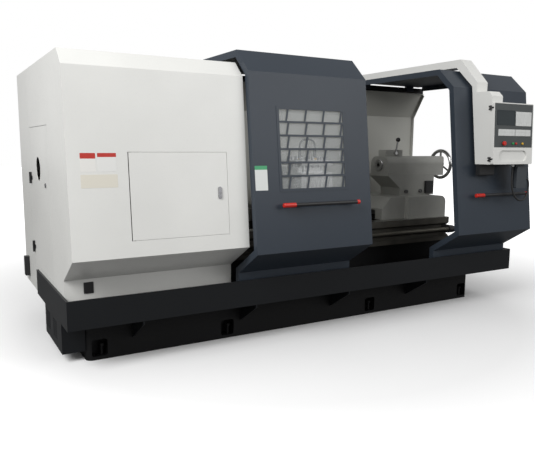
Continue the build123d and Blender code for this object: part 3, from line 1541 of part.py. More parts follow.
# Carriage with its cross slide and tool post
def saddle():
    """The saddle: a wing on each way, the waist with the cross slide's dovetail, and the apron in front."""
    bottom = BED_TOP + SLIDE_GAP
    half = SADDLE_WIDTH / 2
    wing = half - BED_WIDTH / 2 + WAY_WIDTH
    waist = slab(waist_left(), waist_left() + SADDLE_WAIST, -half, half, bottom, SADDLE_TOP)
    body = waist
    for side in (-1, 1):
        low, high = sorted((side * half, side * (half - wing)))
        body += slab(SADDLE_LEFT, SADDLE_RIGHT, low, high, bottom, SADDLE_TOP - SADDLE_WING_STEP)
        low, high = sorted((side * half, side * (BED_WIDTH / 2 + BED_SIDE_GAP)))
        body += slab(SADDLE_LEFT, SADDLE_RIGHT, low, high, BED_TOP - SADDLE_SKIRT, bottom)
    body -= slab(SADDLE_LEFT - 1, SADDLE_RIGHT + 1, wing - half, half - wing, 0, bottom + SADDLE_ARCH)
    return body + dovetail(0, -half, half, SADDLE_TOP) + apron()


def waist_left():
    """The left side of the saddle's waist."""
    return POST_CENTRE_X - SADDLE_WAIST / 2


def dovetail(growth, y0, y1, bottom):
    """A dovetail along y on top of a face, grown by a clearance."""
    half = DOVETAIL_WIDTH / 2 + growth
    undercut = DOVETAIL_HEIGHT / math.tan(math.radians(DOVETAIL_ANGLE))
    top = bottom + DOVETAIL_HEIGHT + growth
    x = POST_CENTRE_X
    outline = [(x - half + undercut, bottom), (x + half - undercut, bottom), (x + half, top), (
        x - half,
        top,
    )]
    return front_section(outline, y0, y1)


def apron():
    """The apron with the nut on the feed screw."""
    left = SADDLE_LEFT + APRON_LEFT_INSET
    rear = -BED_WIDTH / 2 - BED_SIDE_GAP
    body = slab(left, left + APRON_LENGTH, rear - APRON_DEPTH, rear, APRON_BOTTOM, BED_TOP - SADDLE_SKIRT)
    body = chamfer(body.edges().filter_by(Axis.X).group_by(Axis.Z)[0].group_by(Axis.Y)[0], APRON_CHAMFER)
    return body - rod_x(left - 1, left + APRON_LENGTH + 1, SCREW_Y, SCREW_HEIGHT, SCREW_RADIUS + SHAFT_GAP)


def cross_slide():
    """The cross slide on the saddle's dovetail."""
    x0 = POST_CENTRE_X - CROSS_WIDTH / 2
    x1 = POST_CENTRE_X + CROSS_WIDTH / 2
    bottom = SADDLE_TOP + SLIDE_GAP
    rear = CROSS_FRONT + CROSS_LENGTH
    body = slab(x0, x1, CROSS_FRONT, rear, bottom, CROSS_TOP)
    body -= dovetail(SLIDE_GAP, CROSS_FRONT - 1, rear + 1, SADDLE_TOP)
    return body - rod_z(
        POST_CENTRE_X,
        POST_CENTRE_Y,
        CROSS_TOP - POST_STEM,
        CROSS_TOP + 1,
        POST_STEM_RADIUS + SHAFT_GAP,
    )


def cross_servo():
    """The cross slide's servo motor on the saddle's front."""
    front = -SADDLE_WIDTH / 2
    half = SERVO_SIDE / 2
    z = SADDLE_TOP - half - SADDLE_WING_STEP
    return servo_y(POST_CENTRE_X, front - SERVO_LENGTH, front, z, half)


def servo_y(x, y0, y1, z, half):
    """A square servo motor along y with its flange at the rear."""
    body = slab(x - half, x + half, y0, y1, z - half, z + half)
    body = chamfer(body.edges().filter_by(Axis.Y), SERVO_CHAMFER)
    return body + slab(x - half, x + half, y1 - SERVO_FLANGE, y1, z - half, z + half)


def tool_seat():
    """The height of the tool post's seats, a tool's section below the spindle's axis."""
    return SPINDLE_HEIGHT - TOOL_SECTION


def tool_post():
    """The square four-way tool post on its stem, grooved round for the tools."""
    x = POST_CENTRE_X
    y = POST_CENTRE_Y
    half = POST_SIDE / 2
    core = half - POST_GROOVE_DEPTH
    bottom = CROSS_TOP + SLIDE_GAP
    body = slab(x - half, x + half, y - half, y + half, bottom, POST_TOP)
    body = chamfer(body.edges().group_by(Axis.Z)[-1], POST_CHAMFER)
    ring = slab(
        x - half - 1,
        x + half + 1,
        y - half - 1,
        y + half + 1,
        tool_seat(),
        tool_seat() + POST_GROOVE,
    )
    body -= ring - slab(x - core, x + core, y - core, y + core, tool_seat(), tool_seat() + POST_GROOVE)
    for bolt_x, bolt_y in post_bolt_places():
        body -= rod_z(bolt_x, bolt_y, tool_seat() + POST_GROOVE, POST_TOP + 1, POST_BOLT_RADIUS + SLIDE_GAP)
    return body + rod_z(x, y, CROSS_TOP - POST_STEM + SLIDE_GAP, bottom, POST_STEM_RADIUS)


def post_bolt_places():
    """The (x, y) of each clamp bolt, a row along every side of the post."""
    edge = POST_SIDE / 2 - POST_GROOVE_DEPTH / 2
    pitch = POST_SIDE / (POST_BOLTS_A_SIDE + 1)
    places = []
    for index in range(POST_BOLTS_A_SIDE):
        along = (index + 1) * pitch - POST_SIDE / 2
        for side in (-1, 1):
            places.append((POST_CENTRE_X + side * edge, POST_CENTRE_Y + along))
            places.append((POST_CENTRE_X + along, POST_CENTRE_Y + side * edge))
    return places


def tool_post_bolts():
    """The square-headed clamp bolts of the tool post."""
    bolts = []
    bottom = tool_seat() + TOOL_SECTION
    for x, y in post_bolt_places():
        half = POST_BOLT_RADIUS
        head = slab(x - half, x + half, y - half, y + half, POST_TOP, POST_TOP + POST_BOLT_HEIGHT)
        bolts.append(rod_z(x, y, bottom, POST_TOP, POST_BOLT_RADIUS) + head)
    return Compound(bolts)


def turning_tool():
    """The turning tool under the left row of bolts, its point towards the work."""
    left = POST_CENTRE_X - POST_SIDE / 2 + SHEET
    rear = POST_CENTRE_Y + POST_SIDE / 2 + TOOL_REACH
    front = POST_CENTRE_Y - POST_SIDE / 2 + POST_GROOVE_DEPTH
    right = left + TOOL_SECTION
    plan = Polygon((left, front), (right, front), (right, rear - TOOL_SECTION), (left, rear), align=None)
    return Pos(0, 0, tool_seat()) * extrude(plan, TOOL_SECTION)


def coolant_pipe():
    """The bent coolant pipe on the tool post, from its union to its nozzle's union."""
    path = FilletPolyline(*COOLANT_ROUTE, radius=COOLANT_BEND)
    start = Plane(origin=COOLANT_ROUTE[0], z_dir=Vector(*COOLANT_ROUTE[1]) - Vector(*COOLANT_ROUTE[0]))
    pipe = sweep(start * Circle(COOLANT_RADIUS), path=path)
    for x, y, z in (COOLANT_ROUTE[0], COOLANT_ROUTE[-1]):
        pipe += Pos(x, y, POST_TOP) * extrude(RegularPolygon(UNION_RADIUS, 6), z - POST_TOP)
    return pipe


def feed_screw():
    """The feed screw along the bed's front."""
    return rod_x(screw_left(), BED_RIGHT, SCREW_Y, SCREW_HEIGHT, SCREW_RADIUS)


def screw_left():
    """The feed screw's left end, at the servo motor's flange."""
    return SERVO_LEFT + SERVO_LENGTH + SLIDE_GAP


def screw_bearings():
    """The two brackets on the bed's front that carry the feed screw."""
    brackets = []
    reach = SCREW_RADIUS + SCREW_BEARING_WALL
    for left in (SERVO_LEFT + SERVO_LENGTH + SCREW_BEARING, BED_RIGHT - SCREW_BEARING):
        right = left + SCREW_BEARING
        body = slab(
            left,
            right,
            SCREW_Y,
            -BED_WIDTH / 2 + BED_WEB_INSET,
            SCREW_HEIGHT - reach,
            SCREW_HEIGHT + reach,
        )
        body += rod_x(left, right, SCREW_Y, SCREW_HEIGHT, reach)
        bore = rod_x(left - 1, right + 1, SCREW_Y, SCREW_HEIGHT, SCREW_RADIUS + SHAFT_GAP)
        brackets.append(body - bore)
    return brackets


def feed_drive():
    """The feed screw's servo motor on a foot from the bed's front, and the screw's two brackets."""
    half = FEED_SERVO_SIDE / 2
    right = SERVO_LEFT + SERVO_LENGTH
    body = slab(SERVO_LEFT, right, SCREW_Y - half, SCREW_Y + half, SCREW_HEIGHT - half, SCREW_HEIGHT + half)
    body = chamfer(body.edges().filter_by(Axis.X), SERVO_CHAMFER)
    foot = slab(
        right - SERVO_FLANGE,
        right,
        SCREW_Y,
        bed_web_front(),
        SCREW_HEIGHT - half,
        SCREW_HEIGHT + half,
    )
    return Compound([body + foot, *screw_bearings()])


def bed_web_front():
    """The front face of the bed's front web."""
    return -BED_WIDTH / 2 + BED_WEB_INSET


# Tailstock
def tailstock_base():
    """The tailstock's base on the ways, arched between them, with its lower toe to the left."""
    half = TAIL_BASE_WIDTH / 2
    bottom = BED_TOP + SLIDE_GAP
    base = slab(TAIL_LEFT, TAIL_RIGHT, -half, half, bottom, TAIL_BASE_TOP)
    base = fillet(base.edges().filter_by(Axis.Y).group_by(Axis.Z)[-1].group_by(Axis.X)[-1], TAIL_ROUND)
    toe_top = TAIL_BASE_TOP
    toe = [
        (TAIL_TOE_LEFT, bottom),
        (TAIL_LEFT, bottom),
        (TAIL_LEFT, toe_top),
        (TAIL_LEFT - TAIL_TOE_FLAT, toe_top),
        (TAIL_TOE_LEFT, bottom + TAIL_TOE_HEIGHT),
    ]
    base += front_section(toe, -TAIL_TOE_WIDTH / 2, TAIL_TOE_WIDTH / 2)
    arch = TAIL_ARCH / 2
    return base - slab(TAIL_TOE_LEFT - 1, TAIL_RIGHT + 1, -arch, arch, 0, bottom + SADDLE_ARCH)


def tailstock_body():
    """The tailstock's column, barrel and clamp block, bored for the quill and for the wheel's shaft."""
    half = BARREL_WIDTH / 2
    blank = slab(BARREL_LEFT, BARREL_RIGHT, -half, half, BARREL_BOTTOM, BARREL_TOP)
    barrel = fillet(blank.edges().filter_by(Axis.X).group_by(Axis.Z)[-1], BARREL_ROUND)
    barrel &= fillet(blank.edges().filter_by(Axis.Z).group_by(Axis.X)[-1], BARREL_END_ROUND)
    column = [
        (COLUMN_LEFT, TAIL_BASE_TOP),
        (TAIL_RIGHT, TAIL_BASE_TOP),
        (TAIL_RIGHT, BARREL_BOTTOM + COLUMN_LAP),
        (BARREL_LEFT, BARREL_BOTTOM + COLUMN_LAP),
        (BARREL_LEFT, BARREL_BOTTOM),
        (COLUMN_LEFT, COLUMN_BRACKET),
    ]
    half = COLUMN_WIDTH / 2
    body = barrel + front_section(column, -half, half)
    bore_end = BARREL_LEFT + QUILL_LENGTH + QUILL_PROUD
    body += tailstock_clamp()
    body -= rod_x(BARREL_LEFT - 1, bore_end, 0, SPINDLE_HEIGHT, QUILL_RADIUS + SHAFT_GAP)
    return body - rod_x(bore_end - 1, BARREL_RIGHT + 1, 0, SPINDLE_HEIGHT, WHEEL_SHAFT + SHAFT_GAP)


def tailstock_quill():
    """The quill, with its tapered socket in front and its screw's bore behind."""
    left = BARREL_LEFT - QUILL_PROUD
    right = left + QUILL_LENGTH
    quill = rod_x(left, right, 0, SPINDLE_HEIGHT, QUILL_RADIUS)
    quill = chamfer(quill.edges().group_by(Axis.X)[0], QUILL_CHAMFER)
    socket = Cone(
        QUILL_SOCKET,
        QUILL_SOCKET_END,
        QUILL_SOCKET_DEPTH,
        align=(Align.CENTER, Align.CENTER, Align.MIN),
    )
    quill -= Pos(left, 0, SPINDLE_HEIGHT) * Rot(0, 90, 0) * socket
    return quill - rod_x(
        wheel_shaft_left() - SLIDE_GAP,
        right + 1,
        0,
        SPINDLE_HEIGHT,
        WHEEL_SHAFT + SHAFT_GAP,
    )


def wheel_shaft_left():
    """The left end of the handwheel's screw, inside the quill."""
    return BARREL_LEFT + QUILL_SCREW_FROM_NOSE


def tailstock_handwheel():
    """The handwheel with its rim, spokes, hub and grip, and its screw in the quill."""
    centre = Pos(WHEEL_X, 0, SPINDLE_HEIGHT)
    rim = centre * Rot(0, 90, 0) * Torus(WHEEL_RADIUS - WHEEL_RIM, WHEEL_RIM)
    hub_left = BARREL_RIGHT + SLIDE_GAP
    wheel = rim + rod_x(hub_left, hub_left + WHEEL_HUB_LENGTH, 0, SPINDLE_HEIGHT, WHEEL_HUB)
    wheel += rod_x(wheel_shaft_left(), hub_left, 0, SPINDLE_HEIGHT, WHEEL_SHAFT)
    reach = WHEEL_RADIUS - WHEEL_RIM
    for index in range(WHEEL_SPOKES):
        turn = Rot(index * 360 / WHEEL_SPOKES, 0, 0)
        wheel += centre * turn * rod_z(0, 0, 0, reach, WHEEL_SPOKE)
    grip_z = SPINDLE_HEIGHT - reach
    return wheel + rod_x(WHEEL_X, WHEEL_X + WHEEL_RIM + WHEEL_GRIP_LENGTH, 0, grip_z, WHEEL_GRIP)


def tailstock_clamp():
    """The quill clamp's block on top of the barrel, bored for its lever's shaft."""
    half = CLAMP_WIDTH / 2
    block = slab(CLAMP_LEFT, CLAMP_LEFT + CLAMP_LENGTH, -half, half, BARREL_TOP, BARREL_TOP + CLAMP_HEIGHT)
    block = chamfer(block.edges().group_by(Axis.Z)[-1], QUILL_CHAMFER)
    return block - rod_y(lever_x(), -half - 1, lever_reach(), lever_z(), LEVER_SHAFT + SHAFT_GAP)


def lever_x():
    """The clamp lever's shaft along the barrel."""
    return CLAMP_LEFT + CLAMP_LENGTH / 2


def lever_z():
    """The height of the clamp lever's shaft."""
    return BARREL_TOP + CLAMP_HEIGHT / 2


def lever_reach():
    """The rear end of the bore for the clamp lever's shaft."""
    return CLAMP_WIDTH / 2 - LEVER_SHAFT


def tailstock_lever():
    """The clamp lever: a shaft in the block, an arm in front of it and a ball knob."""
    front = -CLAMP_WIDTH / 2
    arm_y = front - SLIDE_GAP - LEVER_SHAFT
    lever = rod_y(
        lever_x(),
        front - SLIDE_GAP - 2 * LEVER_SHAFT,
        lever_reach() - SLIDE_GAP,
        lever_z(),
        LEVER_SHAFT,
    )
    pivot = Pos(lever_x(), arm_y, lever_z()) * Rot(0, LEVER_LEAN, 0)
    lever += pivot * rod_z(0, 0, 0, LEVER_LENGTH, LEVER_RADIUS)
    return lever + pivot * Pos(0, 0, LEVER_LENGTH) * Sphere(LEVER_KNOB)


def build():
    """Every sub-part by its name."""
    makers = [
        base_casting,
        bed_ways,
        chip_tray,
        louvre_box,
        headstock_casting,
        spindle,
        chuck_body,
        spindle_pulley,
        motor_pulley,
        main_motor,
        drive_belt,
        headstock_cover,
        access_door,
        access_latch,
        side_door,
        side_door_lock,
        electrical_cabinet,
        cabinet_door,
        electrics_panel,
        cable_inlet_block,
        rear_guard,
        door_rails,
        door_1,
        door_1_window,
        door_1_window_guard,
        control_arm,
        control_box,
        control_front,
        operator_panel,
        screen,
        keypad,
        emergency_stop,
        cable_junction,
        hand_pendant,
        pendant_cable,
        saddle,
        cross_slide,
        cross_servo,
        tool_post,
        tool_post_bolts,
        turning_tool,
        coolant_pipe,
        feed_screw,
        feed_drive,
        tailstock_base,
        tailstock_body,
        tailstock_quill,
        tailstock_handwheel,
        tailstock_lever,
    ]
    parts = {maker.__name__: maker() for maker in makers}
    for index in range(JAW_COUNT):
        parts[f"chuck_jaw_{index + 1}"] = chuck_jaw(index)
    for index in range(len(BUTTON_STATIONS)):
        parts[f"push_button_{index + 1}"] = push_button(index)
    parts["door_1_handle"] = door_handle(HANDLE_1_LEFT)
    parts["door_1_handle_caps"] = door_handle_caps(HANDLE_1_LEFT)
    parts["door_2"] = door_hood(DOOR_2_LEFT, DOOR_2_RIGHT)
    parts["door_2_handle"] = door_handle(HANDLE_2_LEFT)
    parts["door_2_handle_caps"] = door_handle_caps(HANDLE_2_LEFT)
    return parts


os.makedirs("parts", exist_ok=True)
for name, shape in build().items():
    export_step(shape, f"parts/{name}.step")
print("cable bends", [round(radius, 1) for radius in cable_radii()])
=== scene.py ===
import json
import math

import bmesh
import bpy
from mathutils import Matrix, Vector

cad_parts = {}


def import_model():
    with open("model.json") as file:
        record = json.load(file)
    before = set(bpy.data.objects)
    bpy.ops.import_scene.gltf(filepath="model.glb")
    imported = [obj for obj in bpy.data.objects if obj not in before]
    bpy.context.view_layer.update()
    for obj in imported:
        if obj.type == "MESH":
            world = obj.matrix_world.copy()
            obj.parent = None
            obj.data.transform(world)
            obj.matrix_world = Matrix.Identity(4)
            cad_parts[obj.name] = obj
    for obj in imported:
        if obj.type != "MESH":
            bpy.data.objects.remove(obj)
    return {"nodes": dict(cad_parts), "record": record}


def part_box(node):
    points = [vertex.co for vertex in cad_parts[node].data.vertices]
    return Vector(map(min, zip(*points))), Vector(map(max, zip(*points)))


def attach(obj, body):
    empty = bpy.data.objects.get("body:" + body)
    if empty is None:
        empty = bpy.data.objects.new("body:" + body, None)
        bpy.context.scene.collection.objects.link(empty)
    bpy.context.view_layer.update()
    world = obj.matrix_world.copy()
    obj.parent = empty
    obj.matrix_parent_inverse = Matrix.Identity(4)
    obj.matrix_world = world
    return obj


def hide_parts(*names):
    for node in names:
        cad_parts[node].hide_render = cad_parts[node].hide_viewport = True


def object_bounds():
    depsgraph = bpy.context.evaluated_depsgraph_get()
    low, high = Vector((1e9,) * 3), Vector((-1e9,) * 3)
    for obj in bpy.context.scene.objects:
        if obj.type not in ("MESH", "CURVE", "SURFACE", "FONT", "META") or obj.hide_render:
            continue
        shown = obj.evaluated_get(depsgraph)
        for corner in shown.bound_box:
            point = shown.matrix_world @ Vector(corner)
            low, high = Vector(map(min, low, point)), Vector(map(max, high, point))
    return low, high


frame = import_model()
cad_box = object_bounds()
NODES = frame["nodes"]
MM = 0.001

# Camera, in metres and degrees
CAMERA_PLACE = (-2.815, -4.740, 1.512)
CAMERA_YAW = 30.054
CAMERA_PITCH = -8.38
CAMERA_ROLL = -0.381
CAMERA_LENS = 39.57
CAMERA_SENSOR = 36.0

# Light, in metres and watts: the world, the two lamps and the point that they are aimed at
WORLD_STRENGTH = 0.45
KEY_PLACE = (-6.5, -3.6, 5.5)
KEY_SIZE = 4.0
KEY_POWER = 560.0
FILL_PLACE = (3.5, -7.0, 4.5)
FILL_SIZE = 5.0
FILL_POWER = 200.0
AIM = (0.0, 0.0, 1.1)
WHITE_LIGHT = (1.0, 1.0, 1.0, 1.0)

# Floor: its colour for the camera and for the light that it sends back, and where it turns white, in metres
FLOOR_PALE = (0.90, 0.90, 0.90)
FLOOR_BOUNCE = (0.18, 0.18, 0.18)
FLOOR_HALF = 40.0
FLOOR_ROUGH = 0.9
FLOOR_GLOSS = 0.1
FLOOR_FADE = (2.2, 7.0)

# The pendant cable: its radius and the route of its centreline in millimetres
CABLE_RADIUS = 8.0
CABLE_ROUNDNESS = 5
CABLE_ORDER = 3
CABLE_STEPS = 12
CABLE_ROUTE = [
    (1720.0, -1262.0, 1352.0),
    (1720.0, -1262.0, 1300.0),
    (1715.0, -1265.0, 1232.0),
    (1722.0, -1268.0, 1160.0),
    (1750.0, -1271.0, 1094.0),
    (1806.0, -1273.0, 1048.0),
    (1876.0, -1273.0, 1044.0),
    (1930.0, -1271.0, 1086.0),
    (1948.0, -1270.0, 1152.0),
    (1944.0, -1269.0, 1214.0),
    (1922.0, -1269.0, 1240.0),
    (1888.0, -1269.0, 1240.0),
]

# The ball on the tailstock's lever: the steel ball inside it and the moulded skin, in metres
KNOB_RADIUS = 0.022
KNOB_SKIN = 0.001
KNOB_SIDES = 32

# Outer faces of the walls that carry black hinges, and the width of the colours' edge, in metres
COVER_WALL_X = -2.0801
BOX_WALL_X = 1.3798
MASK_BLUR = 0.0001
HINGED = {
    "headstock_cover": COVER_WALL_X,
    "side_door": COVER_WALL_X,
    "control_box": BOX_WALL_X,
    "control_front": BOX_WALL_X,
}

# Plain colour fields: node, body, left, right, bottom, top in metres, and the share of the band on top
FIELD_THICKNESS = 0.5 * MM
FIELD_ROUND = 3.0 * MM
FIELD_EDGE = 0.3 * MM
FIELD_SHOULDER = 0.6
BAND_BLUR = 0.2 * MM
PRINT_GRAIN = 700.0
PRINT_ROUGH = (0.3, 0.4)
FIELDS = {
    "cover_label_left": ("headstock_cover", "machine", -1.998, -1.904, 1.352, 1.468, 0.30),
    "cover_label_right": ("headstock_cover", "machine", -1.892, -1.774, 1.352, 1.468, 0.22),
    "cover_label_low": ("headstock_cover", "machine", -2.000, -1.770, 1.252, 1.335, 0.0),
    "door_label": ("door_1", "door_1", -0.822, -0.722, 1.206, 1.380, 0.16),
}
BAND_RED = (0.45, 0.03, 0.02)
FIELD_COLOURS = {
    "cover_label_left": ((0.72, 0.71, 0.68), BAND_RED),
    "cover_label_right": ((0.70, 0.70, 0.68), BAND_RED),
    "cover_label_low": ((0.66, 0.63, 0.55), (0.66, 0.63, 0.55)),
    "door_label": ((0.66, 0.68, 0.66), (0.03, 0.30, 0.12)),
}

# Black blocks: node, body, left, right, bottom, top and how far each stands out, in metres
BLOCKS = {
    "cover_low_plate": ("headstock_cover", "machine", -1.952, -1.887, 0.526, 0.604, 0.006),
    "tailstock_oil_box": ("tailstock_body", "tailstock", 1.765, 1.868, 1.036, 1.166, 0.030),
}
BLOCK_ROUND = 4.0 * MM
BLOCK_SHOULDER = 0.8
BLOCK_EDGE = 0.1

# Clamp screws, as x and z on the tailstock's front, and the ring of screws on the chuck, in metres
CLAMP_SCREWS = ((1.500, 1.062), (1.700, 1.062))
CLAMP_SCREW_RADIUS = 0.019
CLAMP_SCREW_HEIGHT = 0.024
CHUCK_SCREW_RADIUS = 0.013
CHUCK_SCREW_HEIGHT = 0.010
CHUCK_SCREW_CIRCLE = 0.235
CHUCK_SCREW_COUNT = 6

# The feed screw's thread, the turns of it inside the plain left end, and the plain ends, in metres
THREAD_PITCH = 0.010
THREAD_SIDES = 16
THREAD_STEPS = 4
THREAD_ROOT = 0.0215
THREAD_CREST = 0.0249
THREAD_RUN_IN = 2
JOURNAL_LENGTH = 0.115

# Brass collars round the coolant pipe's ends, in metres, and their form as shares of their size
COLLAR_RADIUS = 0.021
COLLAR_HEIGHT = 0.016
COLLAR_SHOULDER = 0.85
COLLAR_CROWN = 0.94

# Screw heads, as shares of their radius and height, and the slope from which a face counts as level
SCREW_SIDES = 24
SCREW_RECESS = 0.55
SCREW_RECESS_FLOOR = 0.35
SCREW_CHAMFER = 0.18
LEVEL = 0.9

# Colours, gloss, grain and the direction of fine lines that several materials share
WHITE_COLOUR = (0.70, 0.70, 0.675)
WHITE_ROUGH = (0.26, 0.36)
DOOR_COLOUR = (0.031, 0.040, 0.053)
DOOR_ROUGH = (0.30, 0.42)
DARK_GLOSS = 0.3
HINGE_BLACK = (0.012, 0.012, 0.013)
ACROSS_X = (1.0, 0.04, 0.04)
ACROSS_Z = (0.04, 0.04, 1.0)
SLOW_DETAIL = 4.0
FINE_DETAIL = 2.0
SMEAR_SCALE = 6.0
SMEAR_DETAIL = 3.0

# The bed's iron: cast sides, and ground faces that look up
BED_LOOKS_UP = (0.95, 0.99)
BED_GRAIN = 130.0
BED_RELIEF = 0.2
BED_RELIEF_DEPTH = 0.0006
BED_LINES = 220.0
BED_LINES_STRETCH = (0.02, 1.0, 1.0)
BED_PATCHES = 5.0
BED_PATCHES_DETAIL = 5.0
BED_CAST = ((0.046, 0.043, 0.036), (0.082, 0.077, 0.062))
BED_GROUND = ((0.33, 0.33, 0.31), (0.50, 0.50, 0.48))
BED_ROUGH = (0.62, 0.28)

# The colour sockets of a mix node
MIX_FIRST = 6
MIX_SECOND = 7
MIX_RESULT = 2


# Materials
def new_material(name):
    """A node material with its tree and shader."""
    material = bpy.data.materials.new(name)
    material.use_nodes = True
    return material, material.node_tree, material.node_tree.nodes["Principled BSDF"]


def noise(tree, scale, detail, stretch=(1.0, 1.0, 1.0)):
    """A noise texture on the object's own coordinates, stretched along its axes."""
    coordinates = tree.nodes.new("ShaderNodeTexCoord")
    mapping = tree.nodes.new("ShaderNodeMapping")
    mapping.inputs["Scale"].default_value = stretch
    texture = tree.nodes.new("ShaderNodeTexNoise")
    texture.inputs["Scale"].default_value = scale
    texture.inputs["Detail"].default_value = detail
    tree.links.new(coordinates.outputs["Object"], mapping.inputs["Vector"])
    tree.links.new(mapping.outputs["Vector"], texture.inputs["Vector"])
    return texture.outputs["Fac"]


def object_axis(tree, axis):
    """One of the object's own coordinates."""
    coordinates = tree.nodes.new("ShaderNodeTexCoord")
    split = tree.nodes.new("ShaderNodeSeparateXYZ")
    tree.links.new(coordinates.outputs["Object"], split.inputs["Vector"])
    return split.outputs[axis]


def ranged(tree, value, low, high, from_low=0.3, from_high=0.7):
    """A value mapped from its usual spread to a range."""
    node = tree.nodes.new("ShaderNodeMapRange")
    node.inputs["From Min"].default_value = from_low
    node.inputs["From Max"].default_value = from_high
    node.inputs["To Min"].default_value = low
    node.inputs["To Max"].default_value = high
    tree.links.new(value, node.inputs["Value"])
    return node.outputs["Result"]


def mixed(tree, factor, first, second):
    """A colour between two colours, which are tuples or sockets."""
    node = tree.nodes.new("ShaderNodeMix")
    node.data_type = "RGBA"
    tree.links.new(factor, node.inputs["Factor"])
    for socket, value in ((node.inputs[MIX_FIRST], first), (node.inputs[MIX_SECOND], second)):
        if isinstance(value, tuple):
            socket.default_value = (*value, 1.0)
        else:
            tree.links.new(value, socket)
    return node.outputs[MIX_RESULT]


def bump(tree, height, strength, distance):
    """A bump from a height, given to the shader."""
    node = tree.nodes.new("ShaderNodeBump")
    node.inputs["Strength"].default_value = strength
    node.inputs["Distance"].default_value = distance
    tree.links.new(height, node.inputs["Height"])
    tree.links.new(node.outputs["Normal"], tree.nodes["Principled BSDF"].inputs["Normal"])


def scaled(colour, share):
    """A colour made lighter or darker."""
    return tuple(min(channel * share, 1.0) for channel in colour)


def surface(name, colour, rough, metallic=0.0, spread=0.05, patch=2.5, grain=400.0, relief=0.08,
            depth=0.0002, stretch=(1.0, 1.0, 1.0), gloss=0.5):
    """A surface with slow colour changes, fine grain in its bump and uneven roughness."""
    material, tree, shader = new_material(name)
    slow = noise(tree, patch, SLOW_DETAIL, stretch)
    fine = noise(tree, grain, FINE_DETAIL, stretch)
    darker = scaled(colour, 1.0 - spread)
    lighter = scaled(colour, 1.0 + spread)
    tint = mixed(tree, ranged(tree, slow, 0.0, 1.0), darker, lighter)
    tree.links.new(tint, shader.inputs["Base Color"])
    tree.links.new(ranged(tree, fine, *rough), shader.inputs["Roughness"])
    shader.inputs["Metallic"].default_value = metallic
    shader.inputs["Specular IOR Level"].default_value = gloss
    bump(tree, fine, relief, depth)
    return material


def powder_coat(name, colour, rough=(0.34, 0.46), gloss=0.5):
    """Powder coat with a faint orange peel."""
    return surface(name, colour, rough, spread=0.04, patch=1.6, grain=260.0, relief=0.16, depth=0.0003,
                   gloss=gloss)


def hinged_paint(name, colour, rough, edge):
    """Powder coat whose hinge halves, left of an edge, are black."""
    material = powder_coat(name, colour, rough)
    tree = material.node_tree
    inside = ranged(tree, object_axis(tree, "X"), 0.0, 1.0, edge - MASK_BLUR, edge)
    base = tree.nodes["Principled BSDF"].inputs["Base Color"]
    tint = base.links[0].from_socket
    tree.links.new(mixed(tree, inside, HINGE_BLACK, tint), base)
    return material


def casting_paint(name, colour, gloss=0.5):
    """Thick paint over a filled and cast surface."""
    return surface(name, colour, (0.42, 0.6), spread=0.06, patch=7.0, grain=110.0, relief=0.22,
                   depth=0.0006, gloss=gloss)


def turned_metal(name, colour, stretch, rough=(0.22, 0.42)):
    """Turned or ground metal, its fine lines running across the stretched axis."""
    return surface(name, colour, rough, metallic=1.0, spread=0.10, patch=3.0, grain=160.0, relief=0.12,
                   depth=0.0001, stretch=stretch)


def moulded(name, colour, rough=(0.4, 0.55)):
    """Moulded plastic or rubber with a fine eroded texture."""
    return surface(name, colour, rough, spread=0.04, patch=12.0, grain=900.0, relief=0.15, depth=0.0002)


def bed_material():
    """Cast iron that is rough on its sides and ground bright on top."""
    material, tree, shader = new_material("bed_iron")
    geometry = tree.nodes.new("ShaderNodeNewGeometry")
    split = tree.nodes.new("ShaderNodeSeparateXYZ")
    tree.links.new(geometry.outputs["Normal"], split.inputs["Vector"])
    ground = ranged(tree, split.outputs["Z"], 0.0, 1.0, *BED_LOOKS_UP)
    cast_grain = noise(tree, BED_GRAIN, SLOW_DETAIL)
    lines = noise(tree, BED_LINES, FINE_DETAIL, BED_LINES_STRETCH)
    patches = noise(tree, BED_PATCHES, BED_PATCHES_DETAIL)
    cast = mixed(tree, ranged(tree, patches, 0.0, 1.0), *BED_CAST)
    bright = mixed(tree, ranged(tree, lines, 0.0, 1.0), *BED_GROUND)
    tree.links.new(mixed(tree, ground, cast, bright), shader.inputs["Base Color"])
    tree.links.new(ground, shader.inputs["Metallic"])
    tree.links.new(ranged(tree, ground, *BED_ROUGH, 0.0, 1.0), shader.inputs["Roughness"])
    bump(tree, cast_grain, BED_RELIEF, BED_RELIEF_DEPTH)
    return material


def glass_material(name, colour, alpha, rough):
    """A sheet of glass that lets light through by its alpha, with faint smears in its gloss."""
    material, tree, shader = new_material(name)
    smear = noise(tree, SMEAR_SCALE, SMEAR_DETAIL)
    tree.links.new(ranged(tree, smear, *rough), shader.inputs["Roughness"])
    shader.inputs["Base Color"].default_value = (*colour, 1.0)
    shader.inputs["Alpha"].default_value = alpha
    return material


def banded_material(name, field, band, edge):
    """A printed field with a band of another colour above an edge, in the piece's own coordinates."""
    material, tree, shader = new_material(name)
    above = ranged(tree, object_axis(tree, "Y"), 0.0, 1.0, edge, edge + BAND_BLUR)
    print_grain = noise(tree, PRINT_GRAIN, FINE_DETAIL)
    tree.links.new(mixed(tree, above, field, band), shader.inputs["Base Color"])
    tree.links.new(ranged(tree, print_grain, *PRINT_ROUGH), shader.inputs["Roughness"])
    return material


